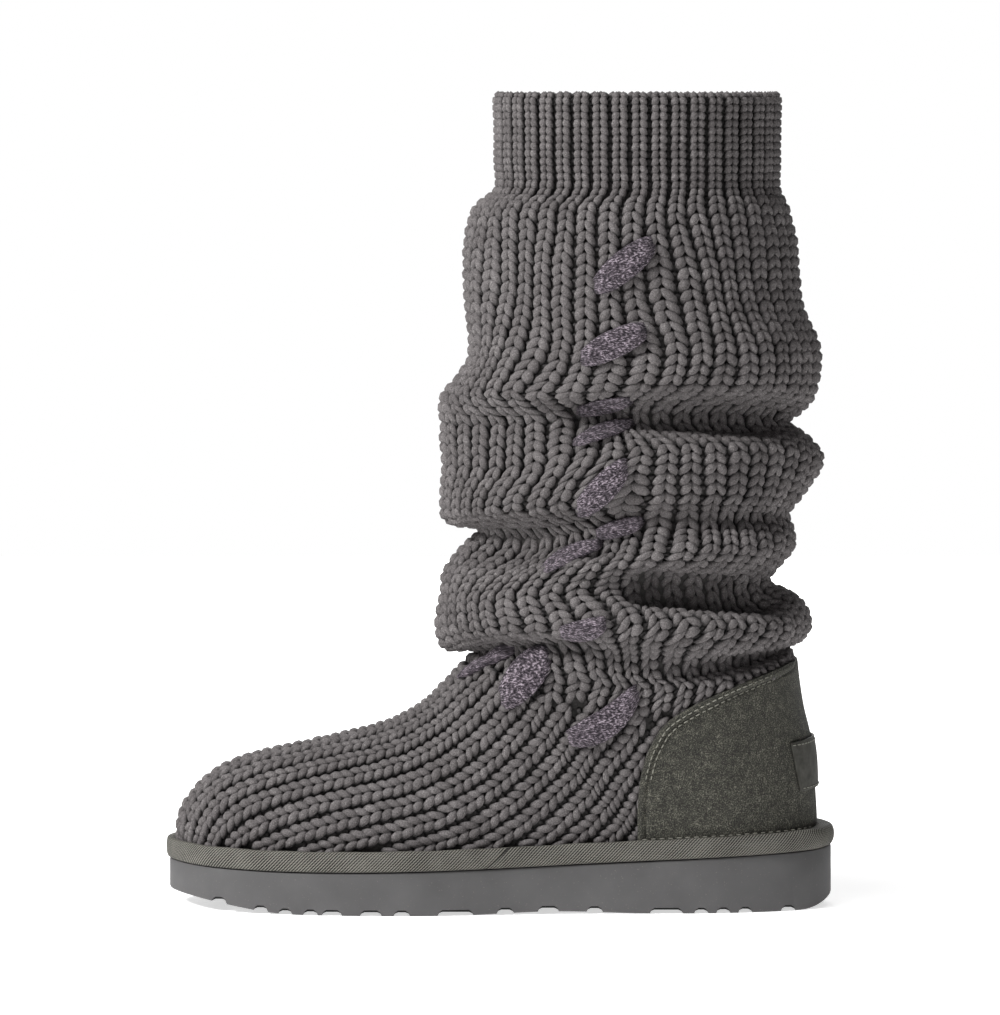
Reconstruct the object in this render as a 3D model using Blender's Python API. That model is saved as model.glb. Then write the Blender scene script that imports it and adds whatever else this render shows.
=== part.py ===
"""Slouched knit mukluk boot: a left boot, toe along -X, outer side along -Y, standing on Z = 0."""

import math

import bmesh
import bpy
import numpy as np
from mathutils import Vector
from mathutils.bvhtree import BVHTree

# Sole, in metres
SOLE_LENGTH = 0.266
BALL_WIDTH = 0.098
FOREFOOT_THICKNESS = 0.017
HEEL_THICKNESS = 0.024
TOE_SPRING = 0.0055
TOE_TOP_LIFT = 0.001
ARCH_LIFT = 0.001
HEEL_BEVEL = 0.006
TREAD_DEPTH = 0.0022
TREAD_SLOPE = 0.0012
SOLE_EDGE_ROUND = 0.0008
TREAD_EDGE_BEVEL = 0.0018

# Knitted upper
BOOT_HEIGHT = 0.325
CUFF_HEIGHT = 0.041
CUFF_DEPTH = 0.114
CUFF_WIDTH = 0.096
CUFF_SETBACK = 0.0022
SHAFT_DEPTH = 0.1384
SHAFT_WIDTH = 0.112
SHAFT_SETBACK = 0.0112
ANKLE_HEIGHT = 0.080
ANKLE_REACH = 0.902
INSTEP_HEIGHT = 0.080
KNIT_WALL = 0.0045
KNIT_ROUND = 0.0013
HEEL_SPREAD = 0.58

# Widths of bare sole outside the knit
TOE_RIM = 0.0028
SIDE_RIM = 0.0048
HEEL_RIM = 0.0077
TOE_RIM_END = 0.12
HEEL_RIM_START = 0.86

# Binding, counter, patch, ribbon and insole
BINDING_HEIGHT = 0.008
BINDING_OVERHANG = 0.0013
BINDING_ROUND = 0.0009
COUNTER_THICKNESS = 0.0018
PATCH_THICKNESS = 0.0010
PATCH_HEIGHT = 0.0200
RIBBON_WIDTH = 0.0092
RIBBON_THICKNESS = 0.0026
RIBBON_STITCH = 0.025
RIBBON_FEEL = 0.0010
RIBBON_END_TAPER = 0.75
RIBBON_END_THINNING = 0.30
RIBBON_EDGE_THINNING = 0.45
INSOLE_THICKNESS = 0.004
INSOLE_CLEARANCE = 0.0022
GAP = 0.0003

# How finely the curved pieces are divided
HALF_COLUMNS = 16
ROW_PITCH = 0.0080
KNOT_STEPS = 16
SLICE_STEPS = 160
OUTLINE_STEPS = 76
INSOLE_STEPS = 56
FINE_OUTLINE_STEPS = 480
END_STATIONS = 8
MIDDLE_STATIONS = 12
COUNTER_FLOOR_STEPS = 9
RIBBON_STEPS = 4

# Half outline of the sole from the toe round the outer side to the heel and back up the inner side:
# along is a share of SOLE_LENGTH from the toe, across a share of BALL_WIDTH, outer side negative
SOLE_OUTLINE = (
    # along, across
    (0.000, 0.06),
    (0.060, -0.30),
    (0.200, -0.455),
    (0.360, -0.50),
    (0.600, -0.42),
    (0.850, -0.385),
    (0.965, -0.25),
    (1.000, 0.00),
    (0.965, 0.25),
    (0.850, 0.38),
    (0.600, 0.36),
    (0.300, 0.50),
    (0.120, 0.42),
    (0.030, 0.25),
)

# Top of the sole: share of the step from forefoot to heel thickness that is reached along the foot
SOLE_RISE = (
    # along, share
    (0.00, 0.00),
    (0.26, 0.00),
    (0.50, 0.20),
    (0.71, 0.54),
    (0.89, 0.83),
    (1.00, 1.00),
)
TOE_SPRING_END = 0.20
HEEL_BEVEL_START = 0.945
ARCH_START = 0.42
ARCH_END = 0.74
# The round toe and heel take this share of the sole's length, and are cut square this close to its ends
ROUND_END = 0.14
SQUARE_END = 0.0008

# Grooves across the tread, as shares of SOLE_LENGTH
TREAD_GROOVES = (
    # along, width
    (0.080, 0.019),
    (0.143, 0.018),
    (0.180, 0.017),
    (0.218, 0.018),
    (0.250, 0.026),
    (0.308, 0.028),
    (0.354, 0.020),
    (0.434, 0.049),
    (0.508, 0.021),
    (0.572, 0.027),
    (0.641, 0.020),
    (0.748, 0.045),
    (0.800, 0.017),
    (0.833, 0.017),
    (0.866, 0.017),
    (0.931, 0.018),
)

# Rings of the slouched shaft, from under the cuff down to the ankle. Each pair is a height, as a share of
# the way from ANKLE_HEIGHT up to the foot of the cuff, and a reach, as a share of half SHAFT_DEPTH at the
# front and back and of half SHAFT_WIDTH at the side.
SHAFT_RINGS = (
    # front, front quarter, side, back quarter, back
    ((0.975, 0.91), (0.978, 0.93), (0.984, 0.93), (0.984, 0.92), (0.975, 0.90)),  # shoulder under the cuff
    ((0.910, 0.96), (0.914, 0.97), (0.916, 0.98), (0.914, 0.97), (0.910, 0.95)),
    ((0.795, 0.96), (0.802, 0.96), (0.804, 1.00), (0.802, 1.00), (0.795, 0.98)),
    ((0.680, 0.945), (0.692, 1.00), (0.696, 1.06), (0.704, 1.08), (0.690, 1.09)),  # first belly
    ((0.605, 1.10), (0.610, 1.03), (0.632, 1.04), (0.630, 1.06), (0.600, 1.05)),  # its lip
    ((0.575, 1.11), (0.590, 0.98), (0.612, 0.93), (0.608, 0.92), (0.575, 0.98)),
    ((0.550, 1.10), (0.558, 0.91), (0.582, 0.87), (0.584, 0.86), (0.555, 0.91)),  # first valley
    ((0.520, 1.10), (0.520, 0.95), (0.548, 0.94), (0.554, 0.95), (0.526, 1.02)),
    ((0.470, 1.09), (0.476, 1.00), (0.510, 1.04), (0.520, 1.05), (0.485, 1.11)),  # second roll
    ((0.405, 1.10), (0.422, 1.04), (0.466, 1.02), (0.446, 1.04), (0.430, 1.03)),
    ((0.361, 1.08), (0.392, 1.00), (0.416, 0.96), (0.402, 1.00), (0.400, 0.96)),  # its lip
    ((0.345, 0.88), (0.350, 0.84), (0.380, 0.87), (0.376, 0.96), (0.375, 0.91)),  # second valley
    ((0.310, 0.98), (0.288, 0.93), (0.352, 0.96), (0.348, 1.02), (0.350, 0.93)),
    ((0.260, 1.09), (0.264, 1.02), (0.314, 1.03), (0.318, 1.05), (0.315, 0.94)),  # third roll
    ((0.220, 1.10), (0.226, 1.04), (0.248, 0.92), (0.248, 0.86), (0.240, 0.80)),  # third valley
    ((0.190, 1.12), (0.196, 1.05), (0.220, 0.98), (0.220, 0.97), (0.210, 0.97)),
    ((0.145, 1.13), (0.176, 1.03), (0.172, 1.04), (0.166, 1.07), (0.165, 1.04)),  # fourth roll
    ((0.109, 1.09), (0.150, 0.97), (0.136, 0.97), (0.124, 1.00), (0.132, 1.00)),  # its lip
    ((0.108, 0.95), (0.128, 0.87), (0.110, 0.84), (0.104, 0.86), (0.122, 0.92)),  # fourth valley
    ((0.105, 0.90), (0.102, 0.86), (0.072, 0.83), (0.086, 0.84), (0.116, 0.91)),
)
# The inner side of the shaft keeps this share of each fold
INNER_SIDE_FOLD = 0.8

# Slices of the foot from the ankle down to the toe. The top point lies on the instep's centre line, reach
# as a share of the way from the toe to the ankle's front and rise as a share of INSTEP_HEIGHT above the
# sole. The end point lies along the knit's lower edge from the toe, 0, to the heel, 1, and past 1 it climbs
# the back seam by INSTEP_HEIGHT.
FOOT_SLICES = (
    # reach, rise, end, sag
    (1.000, 1.036, 1.975, 0.140),
    (0.987, 1.022, 1.70, 0.080),
    (0.974, 1.006, 1.45, 0.045),
    (0.963, 0.992, 1.20, 0.018),
    (0.952, 0.976, 1.00, 0.002),
    (0.944, 0.962, 0.992, 0.0),
    (0.935, 0.946, 0.970, 0.0),
    (0.924, 0.930, 0.935, 0.0),
    (0.907, 0.900, 0.885, 0.0),
    (0.881, 0.860, 0.820, 0.0),
    (0.842, 0.805, 0.740, 0.0),
    (0.790, 0.750, 0.650, 0.0),
    (0.730, 0.703, 0.560, 0.0),
    (0.661, 0.668, 0.475, 0.0),
    (0.587, 0.640, 0.400, 0.0),
    (0.514, 0.615, 0.335, 0.0),
    (0.441, 0.590, 0.280, 0.0),
    (0.367, 0.565, 0.235, 0.0),
    (0.298, 0.539, 0.195, 0.0),
    (0.233, 0.506, 0.160, 0.0),
    (0.164, 0.456, 0.130, 0.0),
    (0.091, 0.365, 0.107, 0.0),
    (0.043, 0.259, 0.087, 0.0),
    (0.0227, 0.140, 0.067, 0.0),
    (0.0227, 0.000, 0.044, 0.0),
)
# The instep's centre line carried on inside the shaft, for the width of the ankle
INSTEP_INSIDE = (
    # reach, rise
    (1.34, 1.85),
    (1.73, 2.60),
    (2.16, 3.40),
)
# Behind this share of the foot the knit's lower edge is drawn in under the heel's back line
HEEL_TURN = 0.60
# How boxy the foot's cross-section is, and how much wider than the sole's rim it grows
FOOT_SECTION = (
    # along, power, spread as a share of HEEL_SPREAD
    (0.00, 2.40, 0.00),
    (0.15, 2.30, 0.00),
    (0.35, 2.05, 0.20),
    (0.50, 1.95, 0.50),
    (0.70, 1.90, 0.90),
    (1.00, 1.90, 1.00),
)
# Back line of the heel: how far the knit lies in from the sole's end, as a share of SOLE_LENGTH
HEEL_BACK = (
    # rise, setback
    (0.00, 0.0290),
    (0.12, 0.0290),
    (0.27, 0.0315),
    (0.47, 0.0350),
    (0.57, 0.0405),
    (0.67, 0.0480),
    (0.82, 0.0555),
    (1.00, 0.0610),
)

# Side outline of the suede counter over the binding: along as a share of SOLE_LENGTH, rise as a share of
# INSTEP_HEIGHT above the sole, from the top of its upright front edge up and back past the heel
COUNTER_OUTLINE = (
    # along, rise
    (0.7057, 0.300),
    (0.7117, 0.452),
    (0.7250, 0.575),
    (0.7520, 0.697),
    (0.8000, 0.788),
    (0.8600, 0.870),
    (0.9200, 0.930),
    (0.9450, 0.950),
    (1.0800, 0.960),
)
# The patch round the back of the counter: its front edge and how far that leans, as shares of SOLE_LENGTH,
# and its foot's rise as a share of INSTEP_HEIGHT
PATCH_FRONT = 0.934
PATCH_LEAN = 0.010
PATCH_RISE = 0.33
BEHIND_HEEL = 1.08

# Ribbon stitches over the knit, by where they show: azimuth round the shaft from the front, rise as a
# share of the shaft's height, reach towards the toe as a share of half SHAFT_DEPTH, length as a share of
# RIBBON_STITCH, and tilt in degrees. The same run is worked on both sides of the boot.
RIBBON_SIDE_STITCHES = (
    # azimuth, rise, reach, length, tilt
    (90, 0.870, 0.055, 1.10, 36),
    (90, 0.718, 0.115, 1.08, 24),
    (90, 0.597, 0.168, 0.84, 12),
    (90, 0.545, 0.168, 0.94, 15),
    (90, 0.441, 0.180, 1.02, 43),
    (90, 0.362, 0.080, 0.60, 22),
    (90, 0.306, 0.345, 0.98, 24),
    (90, 0.172, 0.290, 0.72, 4),
    (90, 0.068, 0.618, 0.98, 38),
    (90, 0.000, 0.175, 1.30, 30),
    (20, 0.092, 0.000, 0.70, 35),
)


def sole_point(along, across=0.0, height=0.0):
    """A point by its share of the sole's length, with its other places in metres."""
    return np.array([(along - 0.5) * SOLE_LENGTH, across, height])


def shaft_axis():
    """X of the shaft's upright axis, its back over the heel."""
    return (SOLE_LENGTH - SHAFT_DEPTH) / 2 - SHAFT_SETBACK


def instep_x(reach):
    """X on the instep's centre line, from the toe at 0 to the ankle's front at 1."""
    ankle = shaft_axis() - ANKLE_REACH * SHAFT_DEPTH / 2
    return reach * ankle - (1 - reach) * SOLE_LENGTH / 2


def column(table, index):
    """One column of a table."""
    return np.array([row[index] for row in table], float)


def hermite(table, index, at):
    """A column of a table read as a smooth curve over its first column."""
    xs = column(table, 0)
    ys = column(table, index)
    slopes = np.gradient(ys, xs)
    at = np.clip(at, xs[0], xs[-1])
    k = np.clip(np.searchsorted(xs, at) - 1, 0, len(xs) - 2)
    width = xs[k + 1] - xs[k]
    t = (at - xs[k]) / width
    return (
        ys[k] * (1 + 2 * t) * (1 - t) ** 2
        + slopes[k] * width * t * (1 - t) ** 2
        + ys[k + 1] * t ** 2 * (3 - 2 * t)
        + slopes[k + 1] * width * t ** 2 * (t - 1)
    )


def catmull(p0, p1, p2, p3, share):
    """The point at a share of the way from p1 to p2 on a centripetal Catmull-Rom curve."""
    def knot(a, b):
        return np.maximum(np.linalg.norm(b - a, axis=-1, keepdims=True), 1e-5) ** 0.5

    t1 = knot(p0, p1)
    t2 = t1 + knot(p1, p2)
    t3 = t2 + knot(p2, p3)
    t = t1 + (t2 - t1) * share
    a1 = ((t1 - t) * p0 + t * p1) / t1
    a2 = ((t2 - t) * p1 + (t - t1) * p2) / (t2 - t1)
    a3 = ((t3 - t) * p2 + (t - t2) * p3) / (t3 - t2)
    b1 = ((t2 - t) * a1 + t * a2) / t2
    b2 = ((t3 - t) * a2 + (t - t1) * a3) / (t3 - t1)
    return ((t2 - t) * b1 + (t - t1) * b2) / (t2 - t1)


def spaced(points, count):
    """Count points evenly spaced along a polyline, its ends kept."""
    steps = np.linalg.norm(np.diff(points, axis=0), axis=1)
    run = np.concatenate([[0.0], np.cumsum(steps)])
    at = np.linspace(0.0, run[-1], count)
    return np.stack([np.interp(at, run, points[:, k]) for k in range(points.shape[1])], axis=1)


def sole_outline(offset, count=OUTLINE_STEPS):
    """The sole's outline moved outwards by offset(along), from the toe round the outer side."""
    knots = np.array([sole_point(along, across * BALL_WIDTH)[:2] for along, across in SOLE_OUTLINE])
    count_knots = len(knots)
    around = [
        catmull(*(knots[j % count_knots] for j in range(k - 1, k + 3)), step / KNOT_STEPS)
        for k in range(count_knots)
        for step in range(KNOT_STEPS)
    ]
    curve = spaced(np.array(around + around[:1]), count + 1)[:-1]
    tangent = np.roll(curve, -1, axis=0) - np.roll(curve, 1, axis=0)
    outward = np.stack([tangent[:, 1], -tangent[:, 0]], axis=1)
    outward /= np.linalg.norm(outward, axis=1, keepdims=True)
    middle = sole_point(0.5)[:2]
    outward *= np.sign(np.sum(outward * (curve - middle), axis=1).mean())
    along = curve[:, 0] / SOLE_LENGTH + 0.5
    return curve + outward * offset(along)[:, None]


def rim(along):
    """Width of bare sole outside the knit."""
    toe = np.clip(1 - along / TOE_RIM_END, 0, 1)
    heel = np.clip((along - HEEL_RIM_START) / (1 - HEEL_RIM_START), 0, 1)
    return SIDE_RIM + (TOE_RIM - SIDE_RIM) * toe + (HEEL_RIM - SIDE_RIM) * heel


def toe_curl(along):
    """One at the toe's tip, easing to nothing where the toe spring ends."""
    return 0.5 + 0.5 * np.cos(np.pi * np.clip(along / TOE_SPRING_END, 0, 1))


def sole_top(along):
    """Height of the sole's top face."""
    step = (HEEL_THICKNESS - FOREFOOT_THICKNESS) * hermite(SOLE_RISE, 1, along)
    return FOREFOOT_THICKNESS + step + TOE_TOP_LIFT * toe_curl(along)


def sole_bottom(along):
    """Height of the tread's face, with toe spring, arch and the bevel at the heel."""
    arch = np.sin(np.pi * np.clip((along - ARCH_START) / (ARCH_END - ARCH_START), 0, 1)) ** 2
    heel = np.clip((along - HEEL_BEVEL_START) / (1 - HEEL_BEVEL_START), 0, 1) ** 2
    return TOE_SPRING * toe_curl(along) + ARCH_LIFT * arch + HEEL_BEVEL * heel


def knit_foot(along):
    """Height at which the knit starts, just over the sole."""
    return sole_top(along) + GAP


def branches(outline):
    """The outer and the inner side of an outline, each as X and Y from toe to heel."""
    heel = int(np.argmax(outline[:, 0]))
    toe = int(np.argmin(outline[:, 0]))
    turned = np.roll(outline, -toe, axis=0)
    heel = (heel - toe) % len(outline)
    outer = turned[: heel + 1]
    inner = np.vstack([turned[:1], turned[heel:][::-1]])
    return outer, inner


RIM_SIDES = branches(sole_outline(lambda along: -rim(along), FINE_OUTLINE_STEPS))


def rim_across(x, side):
    """Y of the knit's lower edge at X, on the outer side, 0, or the inner side, 1."""
    branch = RIM_SIDES[side]
    return np.interp(x, branch[:, 0], branch[:, 1])


def heel_back(rise):
    """X of the heel's back line."""
    return (0.5 - hermite(HEEL_BACK, 1, rise)) * SOLE_LENGTH


def instep_rise(x):
    """Rise of the foot's centre line at X."""
    knots = [row[:2] for row in FOOT_SLICES[::-1]] + list(INSTEP_INSIDE)
    return np.interp(x, instep_x(column(knots, 0)), column(knots, 1))


def foot_surface(x, rise, side):
    """Point of the knitted foot at X and a rise over the sole, on one side."""
    pivot = sole_point(HEEL_TURN)[0]
    stretch = (heel_back(0.0) - pivot) / (heel_back(rise) - pivot)
    under = np.where(x > pivot, pivot + (x - pivot) * stretch, x)
    tips = RIM_SIDES[0][0, 0], RIM_SIDES[0][-1, 0]
    under = np.clip(under, *tips)
    along = x / SOLE_LENGTH + 0.5
    top = np.maximum(instep_rise(x), 1e-4)
    height = np.clip(rise / top, 0, 1)
    power = hermite(FOOT_SECTION, 1, along)
    narrowing = (1 - height ** power) ** (1 / power)
    spread = 1 + HEEL_SPREAD * hermite(FOOT_SECTION, 2, along) * rise ** 2
    middle = (rim_across(under, 0) + rim_across(under, 1)) / 2
    y = middle + (rim_across(under, side) - middle) * narrowing * spread
    return np.stack([x, y, knit_foot(along) + rise * INSTEP_HEIGHT], axis=-1)


def foot_slice(reach, top_rise, end, sag):
    """One slice of the foot, as points from the outer end over the instep to the inner end."""
    share = (1 - np.cos(np.linspace(0, np.pi, SLICE_STEPS + 1))) / 2
    end_rise = max(end - 1, 0.0)
    tips = RIM_SIDES[0][0, 0], RIM_SIDES[0][-1, 0]
    end_x = tips[0] + (tips[1] - tips[0]) * end if end < 1 else heel_back(end_rise)
    top_x = max(instep_x(reach), tips[0])
    bow = sag * 4 * share * (1 - share)
    x = top_x + (end_x - top_x) * share
    rise = top_rise + (end_rise - top_rise) * share - bow
    halves = []
    for side in (0, 1):
        half = foot_surface(x, rise, side)
        halves.append(spaced(half, HALF_COLUMNS + 1))
    return np.vstack([halves[0][::-1], halves[1][1:]])


def foot_rows():
    """Rows of points down the foot with a mark on each closed one, from the ankle to the toe."""
    return [(foot_slice(*row), row[2] >= 1) for row in FOOT_SLICES]


def ring_points(pairs, half_depth, half_width, centre, low, high):
    """One ring of the shaft, from the back round the outer side, the front and the inner side."""
    outer = np.array(pairs)
    inner = outer[1:-1].copy()
    inner[:, 1] = 1 + (inner[:, 1] - 1) * INNER_SIDE_FOLD
    stations = np.vstack([outer[::-1], inner])
    count = len(stations)
    turn = 2.0 / count
    points = []
    for k in range(count):
        knots = [np.array([turn * j, *stations[j % count]]) for j in range(k - 1, k + 3)]
        for step in range(KNOT_STEPS):
            height, reach = catmull(*knots, step / KNOT_STEPS)[1:]
            angle = math.tau * (k + step / KNOT_STEPS) / count
            points.append((
                centre + reach * half_depth * math.cos(angle),
                -reach * half_width * math.sin(angle),
                low + (high - low) * height,
            ))
    points = np.array(points + points[:1])
    front = len(points) // 2
    first = spaced(points[: front + 1], HALF_COLUMNS + 1)
    second = spaced(points[front:], HALF_COLUMNS + 1)
    return np.vstack([first, second[1:]])


def shaft_rings():
    """Control rings of the upper from the collar down to the ankle."""
    level = ((1.0, 1.0),) * 5
    cuff = CUFF_DEPTH / 2, CUFF_WIDTH / 2, shaft_axis() + CUFF_SETBACK
    cuff_foot = BOOT_HEIGHT - CUFF_HEIGHT
    rings = [ring_points(level, *cuff, 0, BOOT_HEIGHT - KNIT_ROUND)]
    for share in (0.33, 0.66):
        rings.append(ring_points(level, *cuff, 0, BOOT_HEIGHT - CUFF_HEIGHT * share))
    rings.append(ring_points(level, *cuff, 0, cuff_foot + KNIT_WALL / 2))
    for pairs in SHAFT_RINGS:
        rings.append(
            ring_points(pairs, SHAFT_DEPTH / 2, SHAFT_WIDTH / 2, shaft_axis(), ANKLE_HEIGHT, cuff_foot)
        )
    return rings


def upper_rows():
    """Rows of the knit's outer face with a mark on each closed one, from the collar to the toe."""
    foot = foot_rows()
    knots = shaft_rings() + [foot[0][0], foot[1][0]]
    rows = []
    for k in range(len(knots) - 2):
        gap = np.linalg.norm(knots[k + 1] - knots[k], axis=1).mean()
        steps = max(1, round(gap / ROW_PITCH))
        before = knots[max(k - 1, 0)]
        for step in range(steps):
            rows.append((catmull(before, knots[k], knots[k + 1], knots[k + 2], step / steps), True))
    return rows + foot


def grid_of(bm, rows):
    """Vertices of the rows, where a closed row's last point is its first."""
    grid = []
    for points, closed in rows:
        line = [bm.verts.new(point) for point in (points[:-1] if closed else points)]
        grid.append(line + line[:1] if closed else line)
    return grid


def skin(bm, grid):
    """Triangles between the rows of a grid, slanting towards its middle column on both sides."""
    for upper, lower in zip(grid, grid[1:]):
        for k in range(len(upper) - 1):
            a, b, c, d = upper[k], upper[k + 1], lower[k + 1], lower[k]
            if k < len(upper) // 2:
                bm.faces.new((a, b, d))
                bm.faces.new((b, c, d))
            else:
                bm.faces.new((a, b, c))
                bm.faces.new((a, c, d))


def close_across(bm, ring):
    """Strips of faces across a ring, from side to side, between its two ends."""
    for k in range(len(ring) // 2):
        corners = (ring[-k], ring[k], ring[k + 1], ring[-k - 1])
        bm.faces.new(list(dict.fromkeys(corners)))


def lower_edge(grid, rows):
    """Vertices of the knit's open lower edge in order, starting and ending at the heel's corner."""
    corner = max(k for k, (points, closed) in enumerate(rows) if closed)
    outer_side = [grid[k][0] for k in range(corner, len(grid))]
    inner_side = [grid[k][-1] for k in range(len(grid) - 1, corner, -1)]
    return outer_side + grid[-1][1:-1] + inner_side


def material(name, colour, roughness):
    """A plain Principled material."""
    made = bpy.data.materials.new(name)
    made.use_nodes = True
    shader = made.node_tree.nodes["Principled BSDF"]
    shader.inputs["Base Color"].default_value = (*colour, 1)
    shader.inputs["Roughness"].default_value = roughness
    shader.inputs["Metallic"].default_value = 0.0
    return made


def finish(bm, name, made, hidden=False):
    """An object in the scene from a closed bmesh, with its faces turned outwards."""
    bmesh.ops.triangulate(bm, faces=bm.faces)
    bmesh.ops.recalc_face_normals(bm, faces=bm.faces)
    mesh = bpy.data.meshes.new(name)
    bm.to_mesh(mesh)
    bm.free()
    mesh.shade_smooth()
    thing = bpy.data.objects.new(name, mesh)
    bpy.context.scene.collection.objects.link(thing)
    if made:
        mesh.materials.append(made)
    if hidden:
        thing.hide_render = True
        thing.display_type = "WIRE"
    return thing


def pushed_rows(rows, distance):
    """The rows moved along the knit's outward normals, its lower edge kept at its height."""
    bm = bmesh.new()
    grid = grid_of(bm, rows)
    skin(bm, grid)
    bm.normal_update()
    middle = np.array([shaft_axis(), 0.0])
    first = grid[0][0]
    outward = 1 if np.dot(first.normal.xy, np.array(first.co.xy) - middle) > 0 else -1
    edge = set(lower_edge(grid, rows)) | set(grid[0][:-1])
    pushed = []
    for line, (points, closed) in zip(grid, rows):
        moved = []
        for vertex in line:
            way = vertex.normal * outward
            if vertex in edge:
                way = Vector((way.x, way.y, 0)).normalized()
            moved.append(vertex.co + way * distance)
        pushed.append((np.array(moved), closed))
    bm.free()
    return pushed


def eased_rows(rows):
    """The closed rows eased half way towards their neighbours, the foot's open rows kept."""
    eased = []
    for k, (points, closed) in enumerate(rows):
        if k == 0 or not rows[min(k + 1, len(rows) - 1)][1]:
            eased.append((points, closed))
            continue
        above = rows[k - 1][0][:-1]
        below = rows[k + 1][0][:-1]
        ring = points[:-1]
        around = (np.roll(ring, 1, axis=0) + np.roll(ring, -1, axis=0) + above + below) / 4
        moved = (ring + around) / 2
        eased.append((np.vstack([moved, moved[:1]]), closed))
    return eased


def knit_upper():
    """The whole sock upper, cuff and folds: one hollow solid, open at the collar and over the sole."""
    rows = upper_rows()
    lining = eased_rows(pushed_rows(rows, -KNIT_WALL))
    brim = (rows[0][0] + lining[0][0]) / 2
    brim[:, 2] = BOOT_HEIGHT
    bm = bmesh.new()
    outer = grid_of(bm, rows)
    inner = grid_of(bm, lining)
    top = grid_of(bm, [(brim, True)])
    skin(bm, outer)
    skin(bm, inner)
    skin(bm, [outer[0], top[0], inner[0]])
    outer_edge = lower_edge(outer, rows)
    inner_edge = lower_edge(inner, lining)
    skin(bm, [outer_edge + outer_edge[:1], inner_edge + inner_edge[:1]])
    return finish(bm, "knit_upper", material("grey_rib_knit", (0.115, 0.108, 0.104), 0.95))


def outsole():
    """The EVA sole: sections from toe to heel, stepped at each groove of the tread."""
    sides = branches(sole_outline(lambda along: 0 * along, FINE_OUTLINE_STEPS))
    ends = SQUARE_END + (1 - np.cos(np.linspace(0, np.pi / 2, END_STATIONS))) * ROUND_END
    middle = np.linspace(ROUND_END, 1 - ROUND_END, MIDDLE_STATIONS)
    stations = set(ends) | set(1 - ends) | set(middle[1:-1])
    slope = TREAD_SLOPE / SOLE_LENGTH
    for along, width in TREAD_GROOVES:
        stations = {spot for spot in stations if abs(spot - along) > width / 2 + slope}
        for edge, way in ((along - width / 2, -1), (along + width / 2, 1)):
            stations |= {edge + way * slope / 2, edge - way * slope / 2}

    bm = bmesh.new()
    sections = []
    for along in sorted(stations):
        x = sole_point(along)[0]
        left, right = (np.interp(x, side[:, 0], side[:, 1]) for side in sides)
        top = sole_top(along)
        bottom = sole_bottom(along)
        bottom += TREAD_DEPTH * any(abs(along - spot) < width / 2 for spot, width in TREAD_GROOVES)
        section = (
            (left + SOLE_EDGE_ROUND, top),
            (left, top - SOLE_EDGE_ROUND),
            (left, bottom + TREAD_EDGE_BEVEL),
            (left + TREAD_EDGE_BEVEL, bottom),
            (right - TREAD_EDGE_BEVEL, bottom),
            (right, bottom + TREAD_EDGE_BEVEL),
            (right, top - SOLE_EDGE_ROUND),
            (right - SOLE_EDGE_ROUND, top),
        )
        ring = [bm.verts.new((x, y, z)) for y, z in section]
        sections.append(ring + ring[:1])
    skin(bm, sections)
    bm.faces.new(sections[0][:-1])
    bm.faces.new(sections[-1][:-1])
    return finish(bm, "outsole", material("grey_eva", (0.145, 0.142, 0.146), 0.7))


def binding():
    """The woven tape round the joint of sole and knit: one closed band with a soft outer face."""
    inner = sole_outline(lambda along: 2 * GAP - rim(along))
    outer = sole_outline(lambda along: BINDING_OVERHANG + 0 * along)
    rounding = (outer - inner) / np.linalg.norm(outer - inner, axis=1)[:, None] * BINDING_ROUND
    profile = (
        # outline, height over the sole
        (inner, 0.0),
        (inner, BINDING_HEIGHT - BINDING_ROUND),
        (outer - rounding, BINDING_HEIGHT),
        (outer, BINDING_HEIGHT - BINDING_ROUND),
        (outer + rounding / 5, BINDING_HEIGHT / 2),
        (outer, BINDING_ROUND),
        (outer - rounding, 0.0),
    )
    bm = bmesh.new()
    lines = []
    for outline, height in profile:
        along = outline[:, 0] / SOLE_LENGTH + 0.5
        line = [bm.verts.new(point) for point in np.column_stack([outline, knit_foot(along) + height])]
        lines.append(line + line[:1])
    skin(bm, lines + lines[:1])
    return finish(bm, "binding", material("olive_twill_tape", (0.135, 0.142, 0.118), 0.85))


def insole():
    """The footbed: a plate on the sole inside the knit."""
    inset = KNIT_WALL + INSOLE_CLEARANCE
    outline = sole_outline(lambda along: -rim(along) - inset, INSOLE_STEPS)
    seat = knit_foot(outline[:, 0] / SOLE_LENGTH + 0.5)
    bm = bmesh.new()
    bottom = [bm.verts.new(point) for point in np.column_stack([outline, seat])]
    top = [bm.verts.new(point) for point in np.column_stack([outline, seat + INSOLE_THICKNESS])]
    skin(bm, [bottom + bottom[:1], top + top[:1]])
    close_across(bm, bottom)
    close_across(bm, top)
    return finish(bm, "insole", material("fleece_footbed", (0.32, 0.31, 0.29), 0.95))


def heel_form(distance, deeper):
    """A closed form of the knitted foot, moved outwards by a distance and carried deeper than the sole."""
    rows = pushed_rows(upper_rows(), distance)[-len(FOOT_SLICES):]
    bm = bmesh.new()
    grid = grid_of(bm, rows)
    skin(bm, grid)
    edge = lower_edge(grid, rows)
    foot = [bm.verts.new(vertex.co - Vector((0, 0, deeper))) for vertex in edge]
    skin(bm, [edge + edge[:1], foot + foot[:1]])
    close_across(bm, grid[0][:-1])
    close_across(bm, foot)
    return finish(bm, f"heel_form_{distance * 1e4:.0f}", None, hidden=True)


def side_prism(name, outline):
    """A closed prism through the boot from side to side, from X and Z points."""
    bm = bmesh.new()
    faces = [[bm.verts.new((x, y, z)) for x, z in outline] for y in (-SHAFT_WIDTH, SHAFT_WIDTH)]
    skin(bm, [face + face[:1] for face in faces])
    for face in faces:
        bm.faces.new(face)
    return finish(bm, name, None, hidden=True)


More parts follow.
